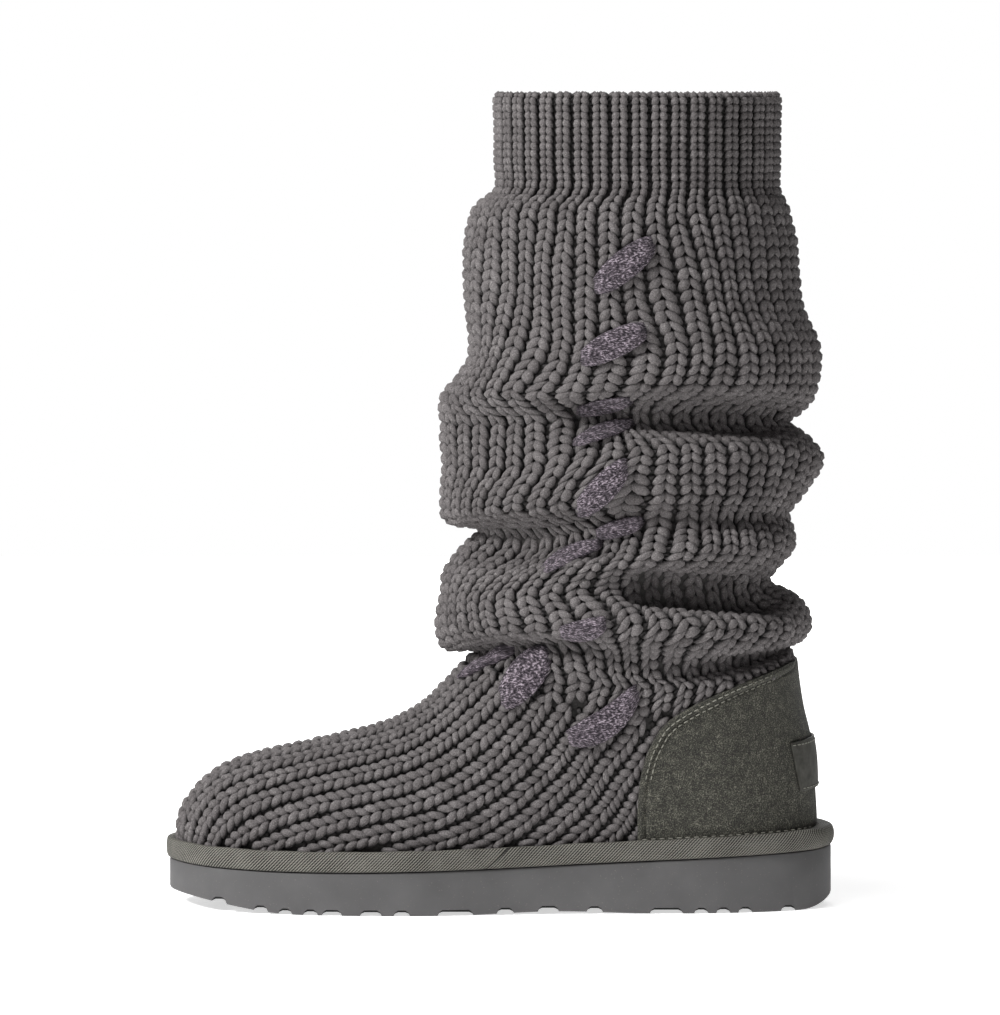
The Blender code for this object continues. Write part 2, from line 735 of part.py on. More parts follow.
def overlay(name, start, thickness, outline, made):
    """A shell over the heel between two forms of the knit, cut to a side outline."""
    cutters = (
        (heel_form(start, 2 * BINDING_HEIGHT), "DIFFERENCE"),
        (side_prism(name + "_cut", outline), "INTERSECT"),
    )
    piece = heel_form(start + thickness, BINDING_HEIGHT)
    piece.name = name
    piece.hide_render = False
    piece.display_type = "SOLID"
    piece.data.materials.append(made)
    for cutter, operation in cutters:
        boolean = piece.modifiers.new(operation.lower(), "BOOLEAN")
        boolean.object = cutter
        boolean.operation = operation
        boolean.solver = "EXACT"
    return piece


def heel_counter():
    """The suede counter round the heel, its lower edge on the binding."""
    def place(along, height):
        return sole_point(along)[0], knit_foot(min(along, 1.0)) + height

    front, back = COUNTER_OUTLINE[0][0], COUNTER_OUTLINE[-1][0]
    edge = [place(along, rise * INSTEP_HEIGHT) for along, rise in COUNTER_OUTLINE]
    floor = [place(along, BINDING_HEIGHT + GAP) for along in np.linspace(back, front, COUNTER_FLOOR_STEPS)]
    suede = material("olive_suede", (0.075, 0.078, 0.068), 0.9)
    return overlay("heel_counter", GAP, COUNTER_THICKNESS, edge + floor, suede)


def heel_patch():
    """The bare oblong patch sewn round the back of the counter."""
    low = knit_foot(1.0) + PATCH_RISE * INSTEP_HEIGHT
    outline = [
        (sole_point(PATCH_FRONT + PATCH_LEAN)[0], low),
        (sole_point(PATCH_FRONT)[0], low + PATCH_HEIGHT),
        (sole_point(BEHIND_HEEL)[0], low + PATCH_HEIGHT),
        (sole_point(BEHIND_HEEL)[0], low),
    ]
    soft = material("soft_patch", (0.09, 0.093, 0.085), 0.7)
    return overlay("heel_patch", COUNTER_THICKNESS + 2 * GAP, PATCH_THICKNESS, outline, soft)


def nearest_knit(tree, start, way, right, up):
    """How far from the start the knit lies at its nearest, over a small patch of the surface."""
    reach = []
    for u in (-RIBBON_FEEL, 0.0, RIBBON_FEEL):
        for v in (-RIBBON_FEEL, 0.0, RIBBON_FEEL):
            hit = tree.ray_cast(start + right * u + up * v, way)[0]
            if hit is not None:
                reach.append((hit - start).dot(way))
    return min(reach)


def ribbon_stitch(name, tree, side, stitch, made):
    """One ribbon stitch that lies on the knit, its ends turned down to it."""
    azimuth, rise, reach, length, tilt = stitch
    angle = math.radians(azimuth)
    out = Vector((-math.cos(angle), -side * math.sin(angle), 0))
    right = Vector((math.sin(angle), -side * math.cos(angle), 0))
    up = Vector((0, 0, 1))
    run = right * math.cos(math.radians(tilt)) + up * math.sin(math.radians(tilt))
    side_way = up * math.cos(math.radians(tilt)) - right * math.sin(math.radians(tilt))
    shaft = BOOT_HEIGHT - CUFF_HEIGHT - ANKLE_HEIGHT
    centre = Vector((shaft_axis(), 0, ANKLE_HEIGHT + rise * shaft)) - right * (reach * SHAFT_DEPTH / 2)
    start = centre + out * SHAFT_DEPTH
    half_length = length * RIBBON_STITCH / 2
    bm = bmesh.new()
    sections = []
    for step in range(RIBBON_STEPS + 1):
        share = 2 * step / RIBBON_STEPS - 1
        taper = (1 - RIBBON_END_TAPER * share ** 4) ** 0.5
        under = []
        over = []
        for across in (-1.0, 0.0, 1.0):
            place = start + run * (share * half_length) + side_way * (across * taper * RIBBON_WIDTH / 2)
            depth = nearest_knit(tree, place, -out, right, up)
            rest = place - out * (depth - 2 * GAP)
            thinning = (1 - RIBBON_EDGE_THINNING * across ** 2) * (1 - RIBBON_END_THINNING * share ** 4)
            under.append(rest)
            over.append(rest + out * (RIBBON_THICKNESS * thinning))
        ring = [bm.verts.new(point) for point in under + over[::-1]]
        sections.append(ring + ring[:1])
    skin(bm, sections)
    bm.faces.new(sections[0][:-1])
    bm.faces.new(sections[-1][:-1])
    return finish(bm, name, made)


def ribbons(upper):
    """The chenille ribbon's stitches up both sides of the shaft and round the ankle."""
    tree = BVHTree.FromPolygons(
        [vertex.co for vertex in upper.data.vertices],
        [tuple(face.vertices) for face in upper.data.polygons],
    )
    for side, side_name in ((1, "lateral"), (-1, "medial")):
        for number, stitch in enumerate(RIBBON_SIDE_STITCHES, 1):
            name = f"ribbon_{side_name}_{number:02d}"
            chenille = material(name + "_chenille", (0.125, 0.112, 0.140), 0.95)
            ribbon_stitch(name, tree, side, stitch, chenille)


def build():
    """The whole boot."""
    for thing in list(bpy.data.objects):
        bpy.data.objects.remove(thing, do_unlink=True)
    upper = knit_upper()
    outsole()
    binding()
    insole()
    heel_counter()
    heel_patch()
    ribbons(upper)


build()
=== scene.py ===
"""Slouched knit mukluk boot: the finish of a left boot, toe along -X, outer side along -Y."""

import math

import bmesh
import bpy
import numpy as np
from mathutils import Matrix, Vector
from mathutils.bvhtree import BVHTree


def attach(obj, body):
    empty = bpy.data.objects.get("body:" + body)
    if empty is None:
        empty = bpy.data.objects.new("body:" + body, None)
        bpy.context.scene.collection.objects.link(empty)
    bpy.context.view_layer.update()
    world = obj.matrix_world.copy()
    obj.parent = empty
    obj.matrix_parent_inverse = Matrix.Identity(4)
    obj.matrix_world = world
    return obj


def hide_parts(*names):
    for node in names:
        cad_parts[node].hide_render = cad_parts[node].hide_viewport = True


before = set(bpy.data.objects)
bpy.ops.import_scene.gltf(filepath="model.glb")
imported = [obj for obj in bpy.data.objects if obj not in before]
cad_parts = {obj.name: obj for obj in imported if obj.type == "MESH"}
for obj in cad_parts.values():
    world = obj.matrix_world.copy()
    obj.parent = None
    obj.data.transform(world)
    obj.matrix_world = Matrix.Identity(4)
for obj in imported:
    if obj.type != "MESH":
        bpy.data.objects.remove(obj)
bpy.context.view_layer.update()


# Outsole
# One moulded block of light foam, thin under the toes and raised at the heel. Grooves with rounded
# shoulders are moulded across its tread, and its side wall is plain, with a faint pale fleck.
SOLE_LENGTH = 0.266
BALL_WIDTH = 0.098
FOREFOOT_THICKNESS = 0.017
HEEL_THICKNESS = 0.024
TOE_SPRING = 0.0055
TOE_SPRING_END = 0.20
TOE_TOP_LIFT = 0.001
ARCH_LIFT = 0.001
ARCH_START = 0.42
ARCH_END = 0.74
HEEL_BEVEL = 0.0040
HEEL_BEVEL_START = 0.950
TREAD_DEPTH = 0.0024
GROOVE_SHOULDER = 0.0012
TREAD_END = 0.0012
TREAD_STEP = 0.0006
TREAD_MIDDLE = 0.55
GROOVE_NEIGHBOURS = 6
SOLE_OUTLINE = (
    # along the sole, across as a share of the ball's width, outer side negative
    (0.000, 0.06),
    (0.060, -0.30),
    (0.200, -0.455),
    (0.360, -0.50),
    (0.600, -0.42),
    (0.850, -0.385),
    (0.965, -0.25),
    (1.000, 0.00),
    (0.965, 0.25),
    (0.850, 0.38),
    (0.600, 0.36),
    (0.300, 0.50),
    (0.120, 0.42),
    (0.030, 0.25),
)
SOLE_RISE = (
    # along the sole, share of the step from forefoot to heel thickness
    (0.00, 0.00),
    (0.26, 0.00),
    (0.50, 0.20),
    (0.71, 0.54),
    (0.89, 0.83),
    (1.00, 1.00),
)
TREAD_GROOVES = (
    # along the sole, width, as shares of its length
    (0.080, 0.019),
    (0.143, 0.018),
    (0.180, 0.017),
    (0.218, 0.018),
    (0.250, 0.026),
    (0.308, 0.028),
    (0.354, 0.020),
    (0.434, 0.049),
    (0.508, 0.021),
    (0.572, 0.027),
    (0.641, 0.020),
    (0.748, 0.045),
    (0.800, 0.017),
    (0.833, 0.017),
    (0.866, 0.017),
    (0.931, 0.018),
)


def sole_x(along):
    """X at a share of the sole's length from the toe."""
    return (along - 0.5) * SOLE_LENGTH


def column(table, index):
    """One column of a table."""
    return np.array([row[index] for row in table], float)


def hermite(table, index, at):
    """A column of a table read as a smooth curve over its first column."""
    xs = column(table, 0)
    ys = column(table, index)
    slopes = np.gradient(ys, xs)
    at = np.clip(at, xs[0], xs[-1])
    k = np.clip(np.searchsorted(xs, at) - 1, 0, len(xs) - 2)
    width = xs[k + 1] - xs[k]
    t = (at - xs[k]) / width
    return (
        ys[k] * (1 + 2 * t) * (1 - t) ** 2
        + slopes[k] * width * t * (1 - t) ** 2
        + ys[k + 1] * t ** 2 * (3 - 2 * t)
        + slopes[k + 1] * width * t ** 2 * (t - 1)
    )


def catmull(p0, p1, p2, p3, share):
    """The point at a share of the way from p1 to p2 on a centripetal Catmull-Rom curve."""
    def knot(a, b):
        return np.maximum(np.linalg.norm(b - a, axis=-1, keepdims=True), 1e-5) ** 0.5

    t1 = knot(p0, p1)
    t2 = t1 + knot(p1, p2)
    t3 = t2 + knot(p2, p3)
    t = t1 + (t2 - t1) * share
    a1 = ((t1 - t) * p0 + t * p1) / t1
    a2 = ((t2 - t) * p1 + (t - t1) * p2) / (t2 - t1)
    a3 = ((t3 - t) * p2 + (t - t2) * p3) / (t3 - t2)
    b1 = ((t2 - t) * a1 + t * a2) / t2
    b2 = ((t3 - t) * a2 + (t - t1) * a3) / (t3 - t1)
    return ((t2 - t) * b1 + (t - t1) * b2) / (t2 - t1)


def run_along(points):
    """Length from a polyline's start to each of its points."""
    steps = np.linalg.norm(np.diff(points, axis=0), axis=1)
    return np.concatenate([[0.0], np.cumsum(steps)])


def spaced(points, count):
    """Count points evenly spaced along a polyline, its ends kept."""
    run = run_along(points)
    at = np.linspace(0.0, run[-1], count)
    return np.stack([np.interp(at, run, values) for values in points.T], axis=1)


def sole_outline(offset, count):
    """The sole's outline moved outwards by offset(along), from the toe round the outer side."""
    knots = np.array([(sole_x(along), across * BALL_WIDTH) for along, across in SOLE_OUTLINE])
    steps = 24
    around = [
        catmull(*(knots[j % len(knots)] for j in range(k - 1, k + 3)), step / steps)
        for k in range(len(knots))
        for step in range(steps)
    ]
    curve = spaced(np.array(around + around[:1]), count + 1)[:-1]
    tangent = np.roll(curve, -1, axis=0) - np.roll(curve, 1, axis=0)
    outward = np.stack([tangent[:, 1], -tangent[:, 0]], axis=1)
    outward /= np.linalg.norm(outward, axis=1, keepdims=True)
    outward *= np.sign(np.sum(outward * curve, axis=1).mean())
    along = curve[:, 0] / SOLE_LENGTH + 0.5
    return curve + outward * np.broadcast_to(offset(along), len(curve))[:, None]


def toe_curl(along):
    """One at the toe's tip, easing to nothing where the toe spring ends."""
    return 0.5 + 0.5 * np.cos(np.pi * np.clip(along / TOE_SPRING_END, 0, 1))


def sole_top(along):
    """Height of the sole's top face."""
    step = (HEEL_THICKNESS - FOREFOOT_THICKNESS) * hermite(SOLE_RISE, 1, along)
    return FOREFOOT_THICKNESS + step + TOE_TOP_LIFT * toe_curl(along)


def sole_bottom(along):
    """Height of the tread's face, with toe spring, arch and the bevel at the heel."""
    arch = np.sin(np.pi * np.clip((along - ARCH_START) / (ARCH_END - ARCH_START), 0, 1)) ** 2
    heel = np.clip((along - HEEL_BEVEL_START) / (1 - HEEL_BEVEL_START), 0, 1) ** 2
    return TOE_SPRING * toe_curl(along) + ARCH_LIFT * arch + HEEL_BEVEL * heel


def placed(name, data):
    """A new object in the scene."""
    thing = bpy.data.objects.new(name, data)
    bpy.context.scene.collection.objects.link(thing)
    return thing


def mesh_object(name, points, faces, material=None, edges=()):
    """A smooth-shaded object with its place in its mesh."""
    mesh = bpy.data.meshes.new(name)
    mesh.from_pydata([tuple(point) for point in points], edges, faces)
    mesh.validate()
    mesh.shade_smooth()
    if material:
        mesh.materials.append(material)
    return placed(name, mesh)


def turned_out(thing, merge=0.0):
    """The same piece with its faces pointing out, its doubles merged first where a distance is given."""
    bm = bmesh.new()
    bm.from_mesh(thing.data)
    if merge:
        bmesh.ops.remove_doubles(bm, verts=bm.verts, dist=merge)
    bmesh.ops.recalc_face_normals(bm, faces=bm.faces)
    bm.to_mesh(thing.data)
    bm.free()
    return thing


def ring_faces(rows, count, closed_rows=False):
    """Quads between rings of count points each."""
    last = rows if closed_rows else rows - 1
    return [
        (a * count + k, a * count + (k + 1) % count, b * count + (k + 1) % count, b * count + k)
        for a, b in ((row, (row + 1) % rows) for row in range(last))
        for k in range(count)
    ]


def prism_faces(rows, count, start=0):
    """Faces of a closed prism of rings: its two ends, then its sides."""
    last = start + (rows - 1) * count
    ends = [tuple(range(start, start + count)), tuple(range(last, last + count))[::-1]]
    return ends + [tuple(start + k for k in face) for face in ring_faces(rows, count)]


def across_faces(start, count):
    """Quads across a ring of an even count, from side to side."""
    half = count // 2
    faces = [(start, start + 1, start + count - 1)]
    for k in range(1, half - 1):
        faces.append((start + k, start + k + 1, start + count - k - 1, start + count - k))
    faces.append((start + half - 1, start + half, start + half + 1))
    return faces


def block_faces(rows, count):
    """Quads round a block of rings and across its top and its foot."""
    return ring_faces(rows, count) + across_faces(0, count) + across_faces((rows - 1) * count, count)


def settled(thing):
    """The piece with its modifiers worked into its mesh."""
    depsgraph = bpy.context.evaluated_depsgraph_get()
    mesh = bpy.data.meshes.new_from_object(thing.evaluated_get(depsgraph), depsgraph=depsgraph)
    thing.modifiers.clear()
    thing.data = mesh
    return thing


def node(tree, kind, inputs=(), **settings):
    """The outputs of a new node with its settings, each input a value or another node's output."""
    made = tree.nodes.new(kind)
    for key, value in settings.items():
        setattr(made, key, value)
    for key, value in dict(inputs).items():
        if isinstance(value, bpy.types.NodeSocket):
            tree.links.new(value, made.inputs[key])
        else:
            made.inputs[key].default_value = value
    return made.outputs


def finish_of(name, roughness, sheen=0.0, more=()):
    """A material and its tree, with its shader's inputs."""
    material = bpy.data.materials.new(name)
    material.use_nodes = True
    values = {
        "Roughness": roughness,
        "Sheen Weight": sheen,
        "Sheen Roughness": 0.6,
        "Specular IOR Level": 0.25,
        **dict(more),
    }
    for key, value in values.items():
        material.node_tree.nodes["Principled BSDF"].inputs[key].default_value = value
    return material, material.node_tree


def noise(tree, scale, detail=2.0, rough=0.5, place=None):
    """A noise pattern's value at a place, or at the place on the object."""
    place = place or node(tree, "ShaderNodeTexCoord")["Object"]
    inputs = {"Vector": place, "Scale": scale, "Detail": detail, "Roughness": rough}
    return node(tree, "ShaderNodeTexNoise", inputs)[0]


def ramp(tree, value, stops):
    """Colours or greys along a value, each stop a place and a linear colour."""
    made = node(tree, "ShaderNodeValToRGB", {"Fac": value})[0]
    slots = made.node.color_ramp.elements
    while len(slots) < len(stops):
        slots.new(0.5)
    for slot, (place, colour) in zip(slots, stops):
        slot.position = place
        slot.color = (*colour, 1)
    return made


def blend(tree, share, first, second, way="MIX"):
    """Two colours mixed by a share, or put together in another way."""
    inputs = {0: share, 6: first, 7: second}
    return node(tree, "ShaderNodeMix", inputs, data_type="RGBA", blend_type=way)[2]


def dressed(material, colour, height, depth, strength):
    """The material with its colour and a bump by a height pattern."""
    tree = material.node_tree
    shader = tree.nodes["Principled BSDF"].inputs
    bump = node(tree, "ShaderNodeBump", {"Height": height, "Distance": depth, "Strength": strength})[0]
    tree.links.new(colour, shader["Base Color"])
    tree.links.new(bump, shader["Normal"])
    return material


def eva_finish():
    """Matt grey foam with faint pale flecks and a fine skin."""
    material, tree = finish_of("grey_eva_finish", roughness=0.62)
    flecks = noise(tree, scale=1500, detail=1.0)
    cloud = noise(tree, scale=60, detail=3.0)
    base = ramp(tree, cloud, ((0.3, (0.082, 0.080, 0.081)), (0.7, (0.100, 0.098, 0.099))))
    fleck = ramp(tree, flecks, ((0.70, (0, 0, 0)), (0.78, (1, 1, 1))))
    colour = blend(tree, fleck, base, (0.150, 0.140, 0.130, 1))
    return dressed(material, colour, flecks, depth=0.0001, strength=0.25)


def groove_painted_shade_finish():
    """Near-black painted shade on the grooves' cut walls, where the grey foam lies in shadow."""
    return finish_of("tread_groove_painted_shade", 0.8, more={"Base Color": (0.012, 0.012, 0.012, 1)})[0]


def outsole():
    """The foam block with its tread grooves cut through from side to side."""
    count = 360
    rings = (
        # inset from the outline, share of the way from top to bottom, drop below that height
        (0.0030, 0.0, 0.0),
        (0.0010, 0.0, 0.0),
        (0.0003, 0.0, 0.0003),
        (0.0000, 0.0, 0.0010),
        (0.0000, 0.5, 0.0),
        (0.0000, 1.0, -0.0010),
        (0.0002, 1.0, -0.0004),
        (0.0006, 1.0, -0.0001),
        (0.0012, 1.0, 0.0),
    )
    points = []
    for inset, share, drop in rings:
        outline = sole_outline(lambda along: -inset, count)
        along = outline[:, 0] / SOLE_LENGTH + 0.5
        top = sole_top(along)
        points.extend(np.column_stack([outline, top + (sole_bottom(along) - top) * share - drop]))
    block = turned_out(mesh_object("outsole_foam", points, block_faces(len(rings), count), eva_finish()))

    shoulder = (
        # out from the groove's edge, height over the tread's face
        (2 * GROOVE_SHOULDER, -TREAD_DEPTH),
        (GROOVE_SHOULDER / 2, 0.0),
        (0.0, TREAD_DEPTH * 0.6),
        (-GROOVE_SHOULDER, TREAD_DEPTH),
    )
    cut_points = []
    cut_faces = []
    for along, width in TREAD_GROOVES:
        x = sole_x(along)
        base = float(sole_bottom(np.array(along)))
        half = width * SOLE_LENGTH / 2
        profile = [(-half - out, z) for out, z in shoulder] + [(half + out, z) for out, z in shoulder[::-1]]
        near = outline[np.argsort(np.abs(outline[:, 0] - x))[:GROOVE_NEIGHBOURS], 1]
        low = near.min() + TREAD_END
        high = near.max() - TREAD_END
        stations = (
            # across the sole, depth as a share
            (-BALL_WIDTH, 1.0),
            (low, 1.0),
            (low + TREAD_STEP, TREAD_MIDDLE),
            (high - TREAD_STEP, TREAD_MIDDLE),
            (high, 1.0),
            (BALL_WIDTH, 1.0),
        )
        cut_faces += prism_faces(len(stations), len(profile), len(cut_points))
        for y, share in stations:
            cut_points += [(x + out, y, base + (z * share if z > 0 else z)) for out, z in profile]
    cutter = turned_out(mesh_object("tread_cutter", cut_points, cut_faces, groove_painted_shade_finish()))
    boolean = block.modifiers.new("grooves", "BOOLEAN")
    boolean.object = cutter
    boolean.operation = "DIFFERENCE"
    boolean.solver = "EXACT"
    # The cutter's near-black finish passes to the grooves' cut walls as painted shade.
    boolean.material_mode = "TRANSFER"
    settled(block)
    bpy.data.objects.remove(cutter)
    block.data.shade_smooth()
    block.data.set_sharp_from_angle(angle=math.radians(35))
    return block


sole = outsole()
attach(sole, "root")
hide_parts("outsole")


# Binding
# A band of woven twill tape covers the joint of sole and knit all the way round. It is turned over a
# cord, so its face is rounded, and its two ends meet in the middle of the outer side.
TOE_RIM = 0.0028
SIDE_RIM = 0.0048
HEEL_RIM = 0.0077
TOE_RIM_END = 0.12
HEEL_RIM_START = 0.86
GAP = 0.0003
BINDING_HEIGHT = 0.008
BINDING_OVERHANG = 0.0013
BINDING_COUNT = 480
TAPE_JOIN = -0.0005
TAPE_LEAN = 1.1
TAPE_FACE = 0.0165
TAPE_DEPTH = 0.006
TAPE_ROUND = 0.22
TAPE_SWELL = 0.012
TAPE_SWELL_PACE = 0.35
TWILL_PITCH = 0.00135
PICK_PITCH = 0.0007
TAPE_BACK = (
    # out from the knit to the tape's face, up the tape, as shares
    (0.0, 0.0),
    (0.0, 0.9),
    (0.3, 0.985),
)


def rim(along):
    """Width of bare sole outside the knit."""
    toe = np.clip(1 - along / TOE_RIM_END, 0, 1)
    heel = np.clip((along - HEEL_RIM_START) / (1 - HEEL_RIM_START), 0, 1)
    return SIDE_RIM + (TOE_RIM - SIDE_RIM) * toe + (HEEL_RIM - SIDE_RIM) * heel


def knit_foot(along):
    """Height at which the knit starts, just over the sole."""
    return sole_top(along) + GAP


def uv_map(thing, values):
    """A UV map from one pair of values for each corner of each face, in order."""
    layer = thing.data.uv_layers.new(name="UVMap")
    layer.data.foreach_set("uv", np.asarray(values, np.float32).ravel())


def calc(tree, operation, *values):
    """The result of a sum on values and outputs."""
    return node(tree, "ShaderNodeMath", enumerate(values), operation=operation)[0]


def ranged(tree, value, low, high, to_low=0.0, to_high=1.0):
    """A value carried from one range to another."""
    return node(tree, "ShaderNodeMapRange", enumerate((value, low, high, to_low, to_high)))[0]


def twill_finish(join, lean):
    """Olive-grey ribs of a twill tape, worn pale, with a dark line where its ends meet."""
    material, tree = finish_of("twill_tape_finish", roughness=0.85)
    uv = node(tree, "ShaderNodeUVMap", uv_map="UVMap")[0]
    along, up, _ = node(tree, "ShaderNodeSeparateXYZ", {0: uv})
    ribs = calc(tree, "SINE", calc(tree, "MULTIPLY", calc(tree, "ADD", along, up), math.tau / TWILL_PITCH))
    weft = calc(tree, "SINE", calc(tree, "MULTIPLY", up, math.tau / PICK_PITCH))
    height = ranged(tree, calc(tree, "MULTIPLY_ADD", weft, 0.45, ribs), -1.4, 1.4)
    wear = calc(tree, "MULTIPLY_ADD", noise(tree, scale=90, detail=3.0), 0.5, height)
    mixed = calc(tree, "MULTIPLY_ADD", noise(tree, scale=2500, detail=1.0), 0.4, wear)
    colour = ramp(tree, mixed, (
        (0.45, (0.006, 0.006, 0.005)), (0.92, (0.032, 0.031, 0.028)), (1.00, (0.190, 0.183, 0.160)),
    ))
    slant = calc(tree, "MULTIPLY_ADD", up, lean, along)
    away = calc(tree, "ABSOLUTE", calc(tree, "SUBTRACT", slant, join + lean * TAPE_FACE))
    colour = blend(tree, 1.0, colour, ranged(tree, away, 0.0002, 0.0007, 0.12, 1.0), "MULTIPLY")
    return dressed(material, colour, height, depth=0.00022, strength=0.9)


def binding():
    """The tape's closed band: flat inside against the knit, rounded outside."""
    profile = list(TAPE_BACK)
    for step in range(11):
        angle = math.pi * (0.5 - step / 10)
        profile.append((1 - TAPE_ROUND + TAPE_ROUND * math.cos(angle), 0.5 + 0.5 * math.sin(angle)))
    inner = sole_outline(lambda along: 2 * GAP - rim(along), BINDING_COUNT)
    outer = sole_outline(lambda along: BINDING_OVERHANG, BINDING_COUNT)
    foot = knit_foot(inner[:, 0] / SOLE_LENGTH + 0.5)
    swell = 1 + TAPE_SWELL * np.sin(np.arange(BINDING_COUNT) * TAPE_SWELL_PACE)
    points = []
    for out, up in profile:
        points.extend(np.column_stack([inner + (outer - inner) * out, foot + BINDING_HEIGHT * up * swell]))
    run = run_along(np.vstack([outer, outer[:1]]))
    meet = np.argmin(np.abs(outer[:, 0] - TAPE_JOIN) + (outer[:, 1] > 0))
    lean = TAPE_LEAN * float(np.sign(outer[meet + 1, 0] - outer[meet, 0]))
    faces = ring_faces(len(profile), BINDING_COUNT, closed_rows=True)
    band = mesh_object("binding_tape", points, faces, twill_finish(float(run[meet]), lean))
    rise = run_along(np.array(profile + profile[:1]) * (TAPE_DEPTH, BINDING_HEIGHT))
    uv_map(band, [
        (run[k + along], rise[row + up])
        for row in range(len(profile))
        for k in range(BINDING_COUNT)
        for along, up in ((0, 0), (1, 0), (1, 1), (0, 1))
    ])
    return turned_out(band)


tape = binding()
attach(tape, "root")
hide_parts("binding")


# Insole
# A removable footbed of pale fleece over foam, seen only down the shaft. It lies on the sole inside the
# knit, soft at its edge, with the pile pressed into low tufts.
KNIT_WALL = 0.0045
INSOLE_THICKNESS = 0.004
INSOLE_CLEARANCE = 0.0022


def fleece_finish():
    """Short matted fleece."""
    material, tree = finish_of("fleece_finish", roughness=0.95, sheen=0.05)
    tufts = noise(tree, scale=420, detail=4.0, rough=0.65)
    colour = ramp(tree, tufts, ((0.3, (0.19, 0.182, 0.17)), (0.7, (0.36, 0.35, 0.33))))
    return dressed(material, colour, tufts, depth=0.0012, strength=0.8)


def insole():
    """The footbed: rings of the outline from its flat underside over a soft edge to its middle."""
    count = 160
    inset = KNIT_WALL + INSOLE_CLEARANCE
    rings = (
        # inset from the footbed's edge, height as a share of its thickness
        (0.0010, 0.0),
        (0.0000, 0.3),
        (0.0002, 0.7),
        (0.0012, 0.93),
        (0.0035, 1.0),
        (0.0090, 1.0),
    )
    points = []
    for more, share in rings:
        outline = sole_outline(lambda along: -rim(along) - inset - more, count)
        along = outline[:, 0] / SOLE_LENGTH + 0.5
        points.extend(np.column_stack([outline, knit_foot(along) + INSOLE_THICKNESS * share]))
    faces = block_faces(len(rings), count)
    return turned_out(mesh_object("insole_fleece", points, faces, fleece_finish()))


footbed = insole()
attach(footbed, "root")
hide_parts("insole")


# Knitted wall
# The sock upper is one piece of chunky rib. Behind its stitches lies a close backing, dark as painted shade
# between the ribs, and inside it a brushed lining: together they are the wall that the foot feels, from the
# collar down to the sole.
BOOT_HEIGHT = 0.325
CUFF_HEIGHT = 0.041
CUFF_DEPTH = 0.114
CUFF_WIDTH = 0.096
CUFF_SETBACK = 0.0022
SHAFT_DEPTH = 0.1384
SHAFT_WIDTH = 0.112
SHAFT_SETBACK = 0.0112
ANKLE_HEIGHT = 0.080
ANKLE_REACH = 0.902
INSTEP_HEIGHT = 0.080
KNIT_ROUND = 0.0013
HEEL_SPREAD = 0.58
HEEL_TURN = 0.60
HEEL_MIDDLE = 0.85
INNER_SIDE_FOLD = 0.8
HALF_COLUMNS = 64
ROW_PITCH = 0.0022
BACKING_DEPTH = 0.0030
BACKING_PITCH = 0.004
TROUGH_FLATNESS = 0.5
TROUGH_START_MM = 12
TROUGH_FADE_MM = 22
SHAFT_RINGS = (
    # height from ankle to cuff and reach as a share of half the shaft: front, front quarter, side,
    # back quarter, back
    ((0.975, 0.91), (0.978, 0.93), (0.984, 0.93), (0.984, 0.92), (0.975, 0.90)),
    ((0.910, 0.96), (0.914, 0.97), (0.916, 0.98), (0.914, 0.97), (0.910, 0.95)),
    ((0.795, 0.96), (0.802, 0.96), (0.804, 1.00), (0.802, 1.00), (0.795, 0.98)),
    ((0.680, 0.945), (0.692, 1.00), (0.696, 1.06), (0.704, 1.08), (0.690, 1.09)),
    ((0.605, 1.10), (0.610, 1.03), (0.632, 1.04), (0.630, 1.06), (0.600, 1.05)),
    ((0.575, 1.11), (0.590, 0.98), (0.612, 0.93), (0.608, 0.92), (0.575, 0.98)),
    ((0.550, 1.10), (0.558, 0.91), (0.582, 0.87), (0.584, 0.86), (0.555, 0.91)),
    ((0.520, 1.10), (0.520, 0.95), (0.548, 0.94), (0.554, 0.95), (0.526, 1.02)),
    ((0.470, 1.09), (0.476, 1.00), (0.510, 1.04), (0.520, 1.05), (0.485, 1.11)),
    ((0.405, 1.10), (0.422, 1.04), (0.466, 1.02), (0.446, 1.04), (0.430, 1.03)),
    ((0.361, 1.08), (0.392, 1.00), (0.416, 0.96), (0.402, 1.00), (0.400, 0.96)),
    ((0.345, 0.88), (0.350, 0.84), (0.380, 0.87), (0.376, 0.96), (0.375, 0.91)),
    ((0.310, 0.98), (0.288, 0.93), (0.352, 0.96), (0.348, 1.02), (0.350, 0.93)),
    ((0.260, 1.09), (0.264, 1.02), (0.314, 1.03), (0.318, 1.05), (0.315, 0.94)),
    ((0.220, 1.10), (0.226, 1.04), (0.248, 0.92), (0.248, 0.86), (0.240, 0.80)),
    ((0.190, 1.12), (0.196, 1.05), (0.220, 0.98), (0.220, 0.97), (0.210, 0.97)),
    ((0.145, 1.13), (0.176, 1.03), (0.172, 1.04), (0.166, 1.07), (0.165, 1.04)),
    ((0.109, 1.09), (0.150, 0.97), (0.136, 0.97), (0.124, 1.00), (0.132, 1.00)),
    ((0.108, 0.95), (0.128, 0.87), (0.110, 0.84), (0.104, 0.86), (0.122, 0.92)),
    ((0.105, 0.90), (0.102, 0.86), (0.072, 0.83), (0.086, 0.84), (0.116, 0.91)),
)
TROUGHS = (
    # x, z at the start and x, z at the end, half width, depth, in millimetres
    (34, 198, 118, 195, 4.5, 6.5),
    (-16, 178, 10, 176, 7.0, 2.6),
    (-14, 145, 40, 147, 5.5, 6.0),
    (44, 152, 112, 158, 3.5, 2.2),
    (60, 130, 108, 126, 5.0, 13.0),
    (-16, 101, 30, 106, 4.0, 5.0),
    (66, 97, 118, 103, 3.0, 1.6),
)
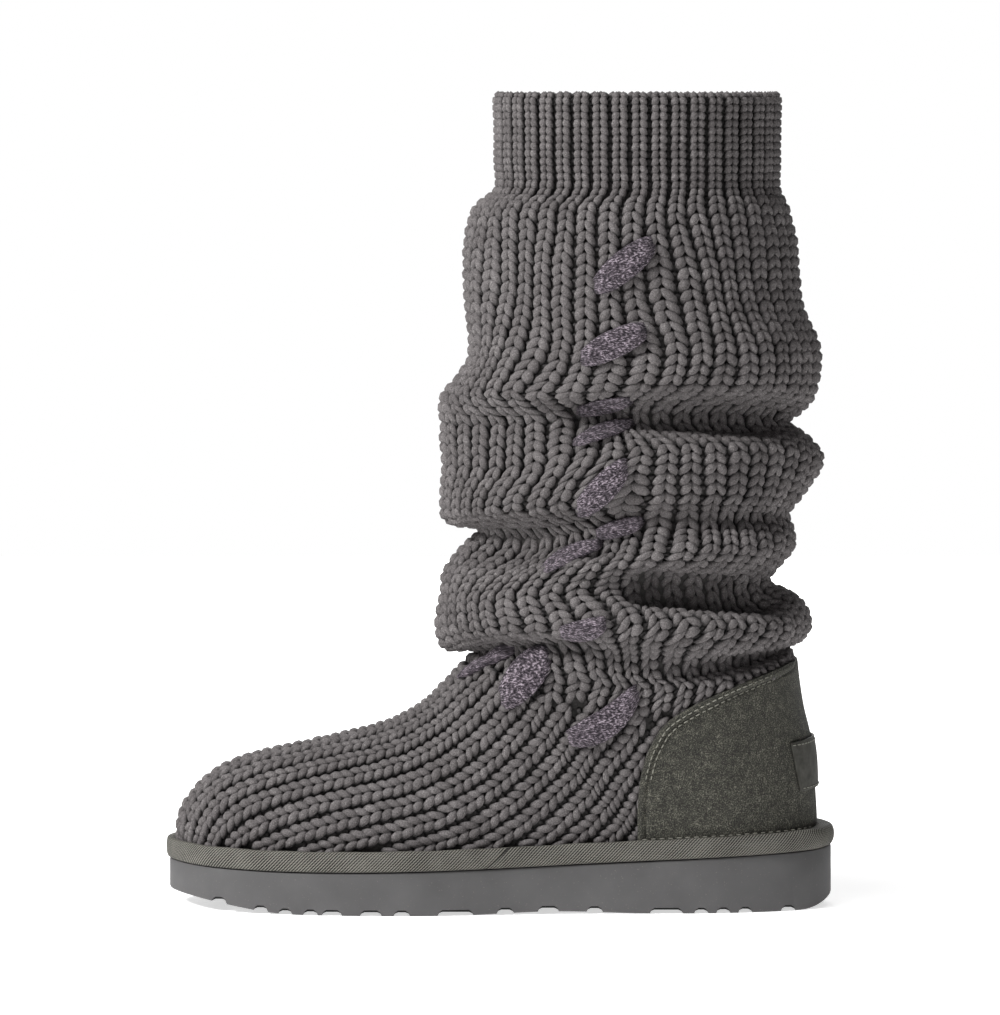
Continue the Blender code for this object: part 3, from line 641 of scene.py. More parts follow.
FOOT_SLICES = (
    # reach from toe to ankle, rise, end along the lower edge or up the back seam, sag if any
    (1.000, 1.036, 1.975, 0.140),
    (0.987, 1.022, 1.70, 0.080),
    (0.974, 1.006, 1.45, 0.045),
    (0.963, 0.992, 1.20, 0.018),
    (0.952, 0.976, 1.00, 0.002),
    (0.944, 0.962, 0.992),
    (0.935, 0.946, 0.970),
    (0.924, 0.930, 0.935),
    (0.907, 0.900, 0.885),
    (0.881, 0.860, 0.820),
    (0.842, 0.805, 0.740),
    (0.790, 0.750, 0.650),
    (0.730, 0.703, 0.560),
    (0.661, 0.668, 0.475),
    (0.587, 0.640, 0.400),
    (0.514, 0.615, 0.335),
    (0.441, 0.590, 0.280),
    (0.367, 0.565, 0.235),
    (0.298, 0.539, 0.195),
    (0.233, 0.506, 0.160),
    (0.164, 0.456, 0.130),
    (0.091, 0.365, 0.107),
    (0.043, 0.259, 0.087),
    (0.0227, 0.140, 0.067),
    (0.0227, 0.000, 0.044),
)
INSTEP_INSIDE = (
    # reach, rise
    (1.34, 1.85),
    (1.73, 2.60),
    (2.16, 3.40),
)
FOOT_SECTION = (
    # along, power, spread as a share of HEEL_SPREAD
    (0.00, 2.40, 0.00),
    (0.15, 2.30, 0.00),
    (0.35, 2.05, 0.20),
    (0.50, 1.95, 0.50),
    (0.70, 1.90, 0.90),
    (1.00, 1.90, 1.00),
)
HEEL_BACK = (
    # rise, setback as a share of the sole's length
    (0.00, 0.0290),
    (0.12, 0.0290),
    (0.27, 0.0315),
    (0.47, 0.0350),
    (0.57, 0.0405),
    (0.67, 0.0480),
    (0.82, 0.0555),
    (1.00, 0.0610),
)


def branches(outline):
    """The outer and the inner side of an outline, each as X and Y from toe to heel."""
    heel = int(np.argmax(outline[:, 0]))
    toe = int(np.argmin(outline[:, 0]))
    turned = np.roll(outline, -toe, axis=0)
    heel = (heel - toe) % len(outline)
    return turned[: heel + 1], np.vstack([turned[:1], turned[heel:][::-1]])


RIM_SIDES = branches(sole_outline(lambda along: -rim(along), 480))
RIM_TIPS = RIM_SIDES[0][0, 0], RIM_SIDES[0][-1, 0]
SHAFT_AXIS = (SOLE_LENGTH - SHAFT_DEPTH) / 2 - SHAFT_SETBACK
CUFF_FOOT = BOOT_HEIGHT - CUFF_HEIGHT


def instep_x(reach):
    """X on the instep's centre line, from the toe at 0 to the ankle's front at 1."""
    ankle = SHAFT_AXIS - ANKLE_REACH * SHAFT_DEPTH / 2
    return reach * ankle - (1 - reach) * SOLE_LENGTH / 2


def instep_rise(x):
    """Rise of the foot's centre line at X."""
    knots = [row[:2] for row in FOOT_SLICES[::-1]] + list(INSTEP_INSIDE)
    return np.interp(x, instep_x(column(knots, 0)), column(knots, 1))


def heel_back(rise):
    """X of the heel's back line."""
    return (0.5 - hermite(HEEL_BACK, 1, rise)) * SOLE_LENGTH


def foot_surface(x, rise, side):
    """Point of the knitted foot at X and a rise over the sole, on one side."""
    pivot = sole_x(HEEL_TURN)
    stretch = (heel_back(0.0) - pivot) / (heel_back(rise) - pivot)
    under = np.clip(np.where(x > pivot, pivot + (x - pivot) * stretch, x), *RIM_TIPS)
    along = x / SOLE_LENGTH + 0.5
    top = np.maximum(instep_rise(x), 1e-4)
    height = np.clip(rise / top, 0, 1)
    power = hermite(FOOT_SECTION, 1, along)
    narrowing = (1 - height ** power) ** (1 / power)
    spread = 1 + HEEL_SPREAD * hermite(FOOT_SECTION, 2, along) * rise ** 2
    edges = [np.interp(under, branch[:, 0], branch[:, 1]) for branch in RIM_SIDES]
    middle = (edges[0] + edges[1]) / 2
    y = middle + (edges[side] - middle) * narrowing * spread
    return np.stack([x, y, knit_foot(along) + rise * INSTEP_HEIGHT], axis=-1)


def foot_halves(reach, top_rise, end, sag=0.0, samples=401):
    """One slice of the foot on its outer and its inner side, from the centre line down to its end."""
    share = (1 - np.cos(np.linspace(0, np.pi, samples))) / 2
    end_rise = max(end - 1, 0.0)
    end_x = RIM_TIPS[0] + (RIM_TIPS[1] - RIM_TIPS[0]) * end if end < 1 else heel_back(end_rise)
    top_x = max(instep_x(reach), RIM_TIPS[0])
    x = top_x + (end_x - top_x) * share
    rise = top_rise + (end_rise - top_rise) * share - sag * 4 * share * (1 - share)
    return [spaced(foot_surface(x, rise, side), HALF_COLUMNS + 1) for side in (0, 1)]


def foot_slice(row):
    """One slice of the foot, as points from the outer end over the instep to the inner end."""
    outer, inner = foot_halves(*row)
    return np.vstack([outer[::-1], inner[1:]])


def ring_points(pairs, half_depth, half_width, centre, low, high):
    """One ring of the shaft, from the back round the outer side, the front and the inner side."""
    outer = np.array(pairs)
    inner = outer[1:-1].copy()
    inner[:, 1] = 1 + (inner[:, 1] - 1) * INNER_SIDE_FOLD
    stations = np.vstack([outer[::-1], inner])
    count = len(stations)
    steps = 32
    points = []
    for k in range(count):
        knots = [np.array([2.0 / count * j, *stations[j % count]]) for j in range(k - 1, k + 3)]
        for step in range(steps):
            height, reach = catmull(*knots, step / steps)[1:]
            angle = math.tau * (k + step / steps) / count
            points.append((
                centre + reach * half_depth * math.cos(angle),
                -reach * half_width * math.sin(angle),
                low + (high - low) * height,
            ))
    points = np.array(points + points[:1])
    front = len(points) // 2
    halves = [spaced(points[: front + 1], HALF_COLUMNS + 1), spaced(points[front:], HALF_COLUMNS + 1)]
    return np.vstack([halves[0], halves[1][1:]])


def shaft_rings():
    """Control rings of the upper from the collar down to the ankle."""
    level = ((1.0, 1.0),) * 5
    cuff = CUFF_DEPTH / 2, CUFF_WIDTH / 2, SHAFT_AXIS + CUFF_SETBACK
    rings = [ring_points(level, *cuff, 0, BOOT_HEIGHT - KNIT_ROUND)]
    for share in (0.33, 0.66):
        rings.append(ring_points(level, *cuff, 0, BOOT_HEIGHT - CUFF_HEIGHT * share))
    rings.append(ring_points(level, *cuff, 0, CUFF_FOOT + KNIT_WALL / 2))
    shaft = SHAFT_DEPTH / 2, SHAFT_WIDTH / 2, SHAFT_AXIS, ANKLE_HEIGHT, CUFF_FOOT
    return rings + [ring_points(pairs, *shaft) for pairs in SHAFT_RINGS]


def rows_between(knots, pitch):
    """Rows of points on the smooth surface through the knots, about a pitch apart."""
    rows = []
    for k in range(len(knots) - 1):
        gap = np.linalg.norm(knots[k + 1] - knots[k], axis=1).mean()
        steps = max(1, round(gap / pitch))
        before = knots[max(k - 1, 0)]
        after = knots[min(k + 2, len(knots) - 1)]
        rows += [catmull(before, knots[k], knots[k + 1], after, step / steps) for step in range(steps)]
    return rows + [knots[-1]]


def grid_normals(rows):
    """Outward normals of a grid of rows, smoothed across neighbours."""
    grid = np.array(rows)
    closed = np.allclose(grid[:, 0], grid[:, -1])
    down = np.gradient(grid, axis=0)
    if closed:
        around = np.roll(grid[:, :-1], -1, axis=1) - np.roll(grid[:, :-1], 1, axis=1)
        around = np.concatenate([around, around[:, :1]], axis=1)
    else:
        around = np.gradient(grid, axis=1)
    normal = np.cross(around, down)
    size = np.linalg.norm(normal, axis=2, keepdims=True)
    return normal / np.maximum(size, 1e-12)


def creased(grid):
    """The same rows with the soft troughs of the slouch pressed in."""
    x, y, z = np.moveaxis(grid, 2, 0) * 1000
    press = np.zeros(x.shape)
    for x0, z0, x1, z1, half_width, depth in TROUGHS:
        run_x, run_z = x1 - x0, z1 - z0
        share = np.clip(((x - x0) * run_x + (z - z0) * run_z) / (run_x ** 2 + run_z ** 2), 0, 1)
        away = np.hypot((x - x0 - share * run_x) * TROUGH_FLATNESS, z - z0 - share * run_z)
        press += depth * np.exp(-((away / half_width) ** 2))
    press *= np.where(y < 0, 1.0, INNER_SIDE_FOLD)
    press *= np.clip((np.abs(y) - TROUGH_START_MM) / TROUGH_FADE_MM, 0, 1)
    return grid - grid_normals(grid) * (press / 1000)[:, :, None]


CLOSED_SLICES = [row for row in FOOT_SLICES if row[2] >= 1]
OPEN_SLICES = [row for row in FOOT_SLICES if row[2] < 1]
SHAFT_KNOTS = shaft_rings() + [foot_slice(row) for row in CLOSED_SLICES]
FOOT_KNOTS = [foot_slice(row) for row in CLOSED_SLICES[-1:] + OPEN_SLICES]


def lining_and_painted_shade_finish():
    """Brushed inner face of the knit, warm grey; behind the stitches it is painted shade between the ribs.
    """
    material, tree = finish_of("knit_lining_and_painted_shade", roughness=0.95)
    pile = noise(tree, scale=700, detail=3.0)
    # Dark enough to serve as painted shade where it shows between the ribs.
    colour = ramp(tree, pile, ((0.3, (0.030, 0.028, 0.027)), (0.7, (0.060, 0.057, 0.055))))
    return dressed(material, colour, pile, depth=0.0006, strength=0.8)


def wall_skin(depth, rounds):
    """Points of the whole upper's grid moved in from its outer face and eased, and its closed rows."""
    shaft = creased(np.array(rows_between(SHAFT_KNOTS, BACKING_PITCH)))
    foot = np.array(rows_between(FOOT_KNOTS, BACKING_PITCH))[1:]
    whole = np.concatenate([grid - grid_normals(grid) * depth for grid in (shaft, foot)])
    closed = len(shaft)
    for _ in range(rounds):
        ring = whole[1:closed - 1, :-1]
        around = np.roll(ring, 1, axis=1) + np.roll(ring, -1, axis=1)
        around = around + whole[:closed - 2, :-1] + whole[2:closed, :-1]
        whole[1:closed - 1, :-1] = (ring + around / 4) / 2
        whole[1:closed - 1, -1] = whole[1:closed - 1, 0]
    return whole, closed


def sheet_faces(rows, columns, start=0):
    """Quads of a grid of points, row after row."""
    return [
        (a, a + 1, a + columns + 1, a + columns)
        for first in range(start, start + (rows - 1) * columns, columns)
        for a in range(first, first + columns - 1)
    ]


def edge_faces(edge, size):
    """Quads along an edge between a sheet's two layers of points."""
    return [(a, b, size + b, size + a) for a, b in zip(edge, edge[1:])]


def shell_faces(rows, columns, edge):
    """Quads of a sheet's two layers, and along the edge that joins them."""
    size = rows * columns
    faces = []
    for a, b, c, d in sheet_faces(rows, columns):
        faces += [(a, b, c, d), (size + a, size + d, size + c, size + b)]
    return faces + edge_faces(edge, size)


def knit_backing():
    """The wall behind the stitches, dark as painted shade: outer skin, brim and lining in one closed shell.
    """
    outer, closed = wall_skin(BACKING_DEPTH, 0)
    inner, _ = wall_skin(KNIT_WALL, 2)
    rows, columns = outer.shape[:2]
    edge = [row * columns for row in range(closed - 1, rows)]
    edge += [(rows - 1) * columns + k for k in range(1, columns)]
    edge += [row * columns + columns - 1 for row in range(rows - 2, closed - 2, -1)]
    faces = shell_faces(rows, columns, edge) + edge_faces(range(columns)[::-1], rows * columns)
    points = np.concatenate([outer.reshape(-1, 3), inner.reshape(-1, 3)])
    # The backing wears the dark lining finish, which stands as painted shade between the ribs.
    return turned_out(mesh_object("knit_backing", points, faces, lining_and_painted_shade_finish()), merge=0.00001)


backing = knit_backing()
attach(backing, "root")
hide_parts("knit_upper")


# Knit stitches
# Two-ply cotton yarn in a one-by-one rib: columns of plump V stitches, the point of each V towards the
# collar, with small purl bumps sunk between them. They are worked over the wall from the collar down.
WALES = 42
YARN = 0.0032
CUFF_WALE = 0.0079
CUFF_COURSE = 0.0030
SHAFT_WALE = 0.0094
SHAFT_COURSE = 0.0043
VAMP_WALE = 0.0092
VAMP_COURSE = 0.0044
VAMP_MIDDLE = 24.0
VAMP_WALES = 14
UV_SPAN = 128.0
COURSE_EASING = 60
VAMP_ROWS = 100
WANDER_START = 14
WANDER_FADE = 8
STITCH_JOG = (0.035, 0.06, 0.0002)
STITCH_TURN = 0.05
STITCH_SIZES = (0.95, 1.05)
SEAM_ZONE = 0.8
SEAM_TUCK = 0.0012
VAMP_TUCK = 0.001
VAMP_FOOT = 0.005
VAMP_UNDER_COUNTER = 0.008
COLLAR_ROLL = (
    # inset from the cuff's face, drop below the collar's top
    (0.0040, 0.0060),
    (0.0040, 0.0025),
    (0.0030, 0.0004),
    (0.0014, 0.0),
)
WANDERS = (
    # shift in wales, waves round the shaft, pace by course, phase
    (0.34, 2, 0.13, 0.4),
    (0.22, 5, 0.23, 2.1),
    (0.14, 9, 0.41, 4.0),
)
SLANTS = (
    # middle and spread in turns from the back over the outer side, z of top, lip and foot in
    # millimetres, shift of the wales at the lip
    (0.36, 0.10, 196, 158, 150, -1.3),
    (0.17, 0.10, 196, 166, 158, 0.9),
    (0.36, 0.10, 150, 112, 104, -1.0),
    (0.15, 0.09, 150, 116, 106, 0.8),
    (0.14, 0.10, 270, 206, 198, 1.3),
    (0.38, 0.12, 270, 206, 196, -1.6),
    (0.64, 0.12, 196, 158, 150, 0.9),
    (0.84, 0.10, 150, 114, 106, -0.7),
)
SHAFT_LEG = (
    # across in wales, up in courses, height in mm, radius as a share of half the yarn
    (-0.330, -0.55, -3.00, 0.52),
    (-0.312, -0.22, -1.75, 0.96),
    (-0.255, 0.08, -0.85, 1.13),
    (-0.175, 0.38, -0.70, 1.13),
    (-0.095, 0.66, -1.20, 0.92),
    (-0.045, 0.92, -2.20, 0.56),
)
SHAFT_PURL = (
    # as in SHAFT_LEG
    (0.380, 0.20, -3.20, 0.45),
    (0.450, 0.27, -2.60, 0.68),
    (0.550, 0.27, -2.60, 0.68),
    (0.620, 0.20, -3.20, 0.45),
)
CUFF_LEG = (
    # as in SHAFT_LEG
    (-0.255, -0.36, -2.30, 0.50),
    (-0.245, -0.12, -1.30, 0.84),
    (-0.215, 0.14, -0.80, 0.98),
    (-0.180, 0.40, -0.80, 0.98),
    (-0.145, 0.66, -1.40, 0.80),
    (-0.125, 0.88, -2.40, 0.45),
)
CUFF_PURL = (
    # as in SHAFT_LEG
    (0.400, 0.05, -3.20, 0.35),
    (0.460, 0.25, -2.60, 0.50),
    (0.540, 0.40, -2.60, 0.50),
    (0.600, 0.60, -3.20, 0.35),
)
CREASE = (
    # x, z in millimetres of the seam between shaft and vamp on the outer side
    (-60, 104),
    (-12, 96),
    (0, 98),
    (24, 84),
    (56, 78),
    (80, 79),
    (96, 85),
    (140, 96),
)
COUNTER_EDGE = (
    # rise, along
    (0.080, 0.7050),
    (0.300, 0.7060),
    (0.452, 0.7120),
    (0.575, 0.7250),
    (0.697, 0.7520),
    (0.788, 0.8000),
    (0.870, 0.8600),
    (0.930, 0.9200),
    (0.950, 0.9450),
)
VAMP_SLICES = (
    # reach from toe to ankle, rise, end along the lower edge
    (0.0227, 0.000, 0.030),
    (0.0227, 0.140, 0.046),
    (0.043, 0.259, 0.066),
    (0.091, 0.365, 0.092),
    (0.164, 0.456, 0.122),
    (0.233, 0.506, 0.152),
    (0.298, 0.539, 0.187),
    (0.367, 0.565, 0.225),
    (0.441, 0.590, 0.268),
    (0.514, 0.615, 0.315),
    (0.587, 0.640, 0.365),
    (0.661, 0.668, 0.418),
    (0.730, 0.703, 0.475),
    (0.790, 0.750, 0.535),
    (0.842, 0.805, 0.595),
    (0.881, 0.860, 0.645),
    (0.924, 0.930, 0.690),
    (1.000, 1.036, 0.745),
    (1.100, 1.130, 0.790),
    (1.230, 1.230, 0.845),
    (1.360, 1.330, 0.900),
    (1.500, 1.430, 0.955),
)


def crease_height(x):
    """Height of the seam between shaft and vamp at X."""
    return np.interp(x * 1000, column(CREASE, 0), column(CREASE, 1)) / 1000


def yarn_finish():
    """Matt heathered yarn: warm grey, paler fibres, darker by painted shade between the stitches."""
    material, tree = finish_of("grey_yarn_finish", roughness=0.9, sheen=0.03)
    fibres = noise(tree, scale=1900, detail=3.0, rough=0.6)
    tone = node(tree, "ShaderNodeAttribute", attribute_name="tone")["Fac"]
    mixed = calc(tree, "MULTIPLY_ADD", noise(tree, scale=120), 0.16, fibres)
    colour = ramp(tree, calc(tree, "MULTIPLY_ADD", tone, 0.05, mixed), (
        (0.38, (0.062, 0.055, 0.055)), (0.66, (0.138, 0.127, 0.127)), (0.88, (0.300, 0.280, 0.278)),
    ))
    # Painted shade: the lower the yarn lies under the stitches' crowns, the darker it is, down to a tenth.
    crown = node(tree, "ShaderNodeAttribute", attribute_name="crown")["Fac"]
    shade = ramp(tree, ranged(tree, crown, -2.8, 0.8), (
        (0.0, (0.10, 0.10, 0.10)), (0.42, (0.50, 0.50, 0.50)), (0.80, (1.0, 1.0, 1.0)),
    ))
    colour = blend(tree, 1.0, colour, shade, "MULTIPLY")
    return dressed(material, colour, fibres, depth=0.0004, strength=0.6)


def tube(route, sides, squash):
    """Points and faces of a closed tube along a route of places and radii, flattened by a share."""
    points = []
    ways = np.gradient(np.array([place for place, _ in route]), axis=0)
    for (place, radius), way in zip(route, ways):
        way = way / np.linalg.norm(way)
        side = np.cross(way, (0, 0, 1))
        side /= np.linalg.norm(side)
        over = np.cross(side, way)
        for k in range(sides):
            angle = math.tau * (k + 0.5) / sides
            points.append(place + radius * (side * math.cos(angle) + over * math.sin(angle) * squash))
    return points, prism_faces(len(route), sides)


def stitch_pattern(name, wale, course, leg, bump):
    """One rib stitch in units of one wale and one course, its heights in metres over the wall's face."""
    points = []
    faces = []
    for rows, mirror, sides in ((leg, 1, 6), (leg, -1, 6), (bump, 1, 5)):
        route = [
            (np.array([mirror * x * wale, y * course, z / 1000]), radius * YARN / 2)
            for x, y, z, radius in rows
        ]
        made, made_faces = tube(route, sides, 0.92)
        faces += [tuple(index + len(points) for index in face) for face in made_faces]
        points += made
    points = np.array(points) / (wale, course, 1.0)
    return turned_out(mesh_object(name, points, faces))


def stitch_guide(name, grid, normals, across, along, keep):
    """A guide surface for stitches: its UV map counts wales and courses, and keep marks where they go."""
    faces = sheet_faces(*grid.shape[:2])
    guide = mesh_object(name, grid.reshape(-1, 3), faces)
    uv = np.stack([across, along], axis=-1).reshape(-1, 2) / UV_SPAN
    uv_map(guide, uv[np.array(faces).ravel()])
    out = guide.data.attributes.new("out", "FLOAT_VECTOR", "POINT")
    out.data.foreach_set("vector", normals.astype(np.float32).ravel())
    mark = guide.data.attributes.new("keep", "FLOAT", "POINT")
    mark.data.foreach_set("value", keep.astype(np.float32).ravel())
    return guide


def new_tree(name, inputs):
    """A geometry tree with its named inputs by kind, and their sockets inside it."""
    tree = bpy.data.node_groups.new(name, "GeometryNodeTree")
    tree.interface.new_socket("Geometry", in_out="OUTPUT", socket_type="NodeSocketGeometry")
    for kind, names in inputs.items():
        for input_name in names:
            tree.interface.new_socket(input_name, in_out="INPUT", socket_type="NodeSocket" + kind)
    return tree, node(tree, "NodeGroupInput")


def meshes_of(tree, *things):
    """The geometry of objects that are given to a tree."""
    return [node(tree, "GeometryNodeObjectInfo", {"Object": thing})["Geometry"] for thing in things]


def drawn(tree, low, high, seed):
    """A random number for each point, by a fixed seed."""
    return node(tree, "FunctionNodeRandomValue", {2: low, 3: high, "Seed": seed}, data_type="FLOAT")[1]


def ended(tree, made, material):
    """The tree with its last steps: smooth faces in their material."""
    made = node(tree, "GeometryNodeSetShadeSmooth", {"Geometry": made})[0]
    made = node(tree, "GeometryNodeSetMaterial", {"Geometry": made, "Material": material})[0]
    node(tree, "NodeGroupOutput", {"Geometry": made})
    return tree


def knitting_tree():
    """Geometry nodes that lay rows of stitches over a guide surface by its UV map."""
    tree, given = new_tree("rib_knitting", {
        "Object": ("Guide", "Stitch"),
        "Material": ("Yarn",),
        "Int": ("Wales", "Courses", "Seed"),
        "Float": ("First Wale", "First Course", "Wrap", "Loose"),
    })
    guide, stitch = meshes_of(tree, given["Guide"], given["Stitch"])

    def work(kind, geometry, inputs, **settings):
        return node(tree, "GeometryNode" + kind, {"Geometry": geometry, **inputs}, **settings)[0]

    def vector(*values):
        return node(tree, "ShaderNodeCombineXYZ", enumerate(values))[0]

    def flag(operation, *values):
        return node(tree, "FunctionNodeBooleanMath", enumerate(values), operation=operation)[0]

    def named(name, kind):
        return node(tree, "GeometryNodeInputNamedAttribute", {"Name": name}, data_type=kind)[0]

    def random(low, high, step):
        return drawn(tree, low, high, calc(tree, "ADD", given["Seed"], step))

    def loose(reach, step):
        return calc(tree, "MULTIPLY", random(-reach, reach, step), given["Loose"])

    place = node(tree, "GeometryNodeInputPosition")[0]
    x, y, height = node(tree, "ShaderNodeSeparateXYZ", {0: place})
    turned = calc(tree, "WRAP", x, given["Wrap"], 0.0)
    here = vector(calc(tree, "DIVIDE", turned, UV_SPAN), calc(tree, "DIVIDE", y, UV_SPAN))

    def sampled(value, kind):
        return node(tree, "GeometryNodeSampleUVSurface", {
            "Mesh": guide, "Value": value, "UV Map": named("UVMap", "FLOAT_VECTOR"), "Sample UV": here,
        }, data_type=kind)

    sizes = [calc(tree, "SUBTRACT", given[name], 1.0) for name in ("Wales", "Courses")]
    grid = node(tree, "GeometryNodeMeshGrid", {
        "Size X": sizes[0], "Size Y": sizes[1], "Vertices X": given["Wales"], "Vertices Y": given["Courses"],
    })[0]
    seats = [
        calc(tree, "ADD", calc(tree, "ADD", at, calc(tree, "MULTIPLY", size, 0.5)), given[first])
        for at, size, first in zip((x, y), sizes, ("First Wale", "First Course"))
    ]
    grid = work("SetPosition", grid, {"Position": vector(*seats)})
    mark = sampled(named("keep", "FLOAT"), "FLOAT")
    half = {0: mark["Value"], 1: 0.5}
    lost = node(tree, "FunctionNodeCompare", half, data_type="FLOAT", operation="LESS_THAN")[0]
    gone = flag("OR", lost, flag("NOT", mark["Is Valid"]))
    grid = work("DeleteGeometry", grid, {"Selection": gone}, domain="POINT")
    jog = vector(*(loose(reach, step) for step, reach in enumerate(STITCH_JOG, 1)))
    grid = work("SetPosition", grid, {"Offset": jog})
    stitches = node(tree, "GeometryNodeInstanceOnPoints", {
        "Points": grid, "Instance": stitch, "Rotation": vector(0, 0, loose(STITCH_TURN, 4)),
        "Scale": random(*STITCH_SIZES, 5),
    })[0]
    tone = {"Name": "tone", "Value": random(-1, 1, 6)}
    stitches = work("StoreNamedAttribute", stitches, tone, data_type="FLOAT", domain="INSTANCE")
    stitches = work("RealizeInstances", stitches, {})
    # Each point's height over the wall, which the yarn's painted shade reads.
    crown = {"Name": "crown", "Value": calc(tree, "MULTIPLY", height, 1000)}
    stitches = work("StoreNamedAttribute", stitches, crown, data_type="FLOAT", domain="POINT")
    ground = sampled(place, "FLOAT_VECTOR")
    outward = sampled(named("out", "FLOAT_VECTOR"), "FLOAT_VECTOR")["Value"]
    lifted = node(tree, "ShaderNodeVectorMath", {0: outward, 3: height}, operation="SCALE")[0]
    final = node(tree, "ShaderNodeVectorMath", {0: ground["Value"], 1: lifted}, operation="ADD")[0]
    astray = {"Selection": flag("NOT", ground["Is Valid"])}
    stitches = work("DeleteGeometry", stitches, astray, domain="POINT")
    return ended(tree, work("SetPosition", stitches, {"Position": final}), given["Yarn"])


def knit_piece(name, tree, values):
    """One stretch of knitting or sewing, worked out by its tree and made a plain mesh."""
    carrier = placed(name, bpy.data.meshes.new(name + "_blank"))
    modifier = carrier.modifiers.new("knitting", "NODES")
    modifier.node_group = tree
    for item in tree.interface.items_tree:
        if item.in_out == "INPUT" and item.name in values:
            modifier[item.identifier] = values[item.name]
    return settled(carrier)


def shaft_guide():
    """The guide from just inside the collar down the folds to below the ankle's seam."""
    brim = SHAFT_KNOTS[0]
    outwards = (brim - (SHAFT_AXIS + CUFF_SETBACK, 0.0, 0.0)) * (1, 1, 0)
    outwards /= np.linalg.norm(outwards, axis=1, keepdims=True)
    roll = []
    for inset, drop in COLLAR_ROLL:
        ring = brim - outwards * inset
        ring[:, 2] = BOOT_HEIGHT - drop
        roll.append(ring)
    grid = creased(np.array(rows_between(roll + SHAFT_KNOTS[:-1], ROW_PITCH)))
    step = np.linalg.norm(np.diff(grid, axis=0), axis=2)
    for _ in range(COURSE_EASING):
        beside = np.roll(step[:, :-1], 1, axis=1), np.roll(step[:, :-1], -1, axis=1)
        step[:, :-1] = (2 * step[:, :-1] + beside[0] + beside[1]) / 4
    step[:, -1] = step[:, 0]
    x = grid[:, :, 0]
    z = grid[:, :, 2]
    course = np.where(z[1:].mean(axis=1) > CUFF_FOOT, CUFF_COURSE, SHAFT_COURSE)
    run = np.concatenate([np.zeros((1, grid.shape[1])), np.cumsum(step / course[:, None], axis=0)])
    turn = np.linspace(0, 1, grid.shape[1])[None, :]
    wander = np.zeros(grid.shape[:2])
    for size, waves, pace, phase in WANDERS:
        wander += size * np.sin(2 * np.pi * waves * turn + phase) * np.sin(run * pace + phase)
    for middle, spread, top, lip, foot, shift in SLANTS:
        fall = np.interp(z * 1000, (foot, lip, top), (0.0, 1.0, 0.0))
        wander += shift * np.exp(-(((turn - middle) / spread) ** 2)) * fall
    wander *= np.sin(np.pi * turn) ** 0.5 * np.clip((run - WANDER_START) / WANDER_FADE, 0, 1)
    low = run > run[-1] * SEAM_ZONE
    keep = ~(low & (z < crease_height(x) - SEAM_TUCK))
    guide = stitch_guide("shaft_guide", grid, grid_normals(grid), WALES * turn + wander, -run, keep)
    return guide, round(run[np.argmax(course == SHAFT_COURSE)].mean()), math.ceil(run[-1].max())


def vamp_guide():
    """The guide of the foot, its wales running back from the toe side by side."""
    table = np.array(VAMP_SLICES)
    slices = []
    for at in np.linspace(0, len(table) - 1, VAMP_ROWS):
        k = min(int(at), len(table) - 2)
        rows = [table[min(max(j, 0), len(table) - 1)] for j in range(k - 1, k + 3)]
        slices.append(foot_halves(*catmull(*rows, at - k), samples=301))
    outer = np.array([pair[0] for pair in slices])
    inner = np.array([pair[1] for pair in slices])
    grid = np.concatenate([outer[:, ::-1], inner[:, 1:]], axis=1)
    halves = []
    ridge = (inner[:, :1, 1] - outer[:, :1, 1]) / 2
    for half, sign in ((outer, -1), (inner, 1)):
        girth = ridge + np.array([run_along(points) for points in half])
        halves.append(VAMP_MIDDLE + sign * girth / VAMP_WALE)
    across = np.concatenate([halves[0][:, ::-1], halves[1][:, 1:]], axis=1)
    along = run_along(grid[:, HALF_COLUMNS // 2]) / VAMP_COURSE
    x = grid[:, :, 0]
    z = grid[:, :, 2]
    floor = knit_foot(x / SOLE_LENGTH + 0.5)
    front = sole_x(hermite(COUNTER_EDGE, 1, (z - floor) / INSTEP_HEIGHT)) + VAMP_UNDER_COUNTER
    keep = (z < crease_height(x) - VAMP_TUCK) & (z > floor + VAMP_FOOT) & (x < front)
    courses = np.broadcast_to(along[:, None], grid.shape[:2])
    guide = stitch_guide("vamp_guide", grid, -grid_normals(grid), across, courses, keep)
    return guide, math.ceil(along[-1])


yarn = yarn_finish()
shaft_stitch = stitch_pattern("shaft_stitch", SHAFT_WALE, SHAFT_COURSE, SHAFT_LEG, SHAFT_PURL)
cuff_stitch = stitch_pattern("cuff_stitch", CUFF_WALE, CUFF_COURSE, CUFF_LEG, CUFF_PURL)
knitting = knitting_tree()
guide, cuff_courses, courses = shaft_guide()
band = (courses - cuff_courses) // 3 + 1
knits = []
for number, (name, pattern, first, count) in enumerate((
    ("knit_cuff", cuff_stitch, 0, cuff_courses),
    ("knit_upper_shaft", shaft_stitch, cuff_courses, band),
    ("knit_middle_shaft", shaft_stitch, cuff_courses + band, band),
    ("knit_lower_shaft", shaft_stitch, cuff_courses + 2 * band, band),
)):
    knits.append(knit_piece(name, knitting, {
        "Guide": guide, "Stitch": pattern, "Yarn": yarn, "Wales": WALES, "Courses": count, "First Wale": 0.5,
        "First Course": float(-first - count), "Wrap": float(WALES), "Loose": 1.0 if number else 0.4,
        "Seed": number * 10,
    }))
foot_guide, foot_courses = vamp_guide()
vamps = ("knit_vamp_lateral", VAMP_MIDDLE - VAMP_WALES), ("knit_vamp_medial", VAMP_MIDDLE)
for number, (name, first) in enumerate(vamps, 5):
    knits.append(knit_piece(name, knitting, {
        "Guide": foot_guide, "Stitch": shaft_stitch, "Yarn": yarn, "Wales": VAMP_WALES,
        "Courses": foot_courses, "First Wale": first, "First Course": 0.0, "Wrap": UV_SPAN, "Loose": 1.0,
        "Seed": number * 10,
    }))
for knit in knits:
    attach(knit, "root")
    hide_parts("knit_upper")
for helper in (guide, foot_guide, shaft_stitch, cuff_stitch):
    bpy.data.objects.remove(helper)


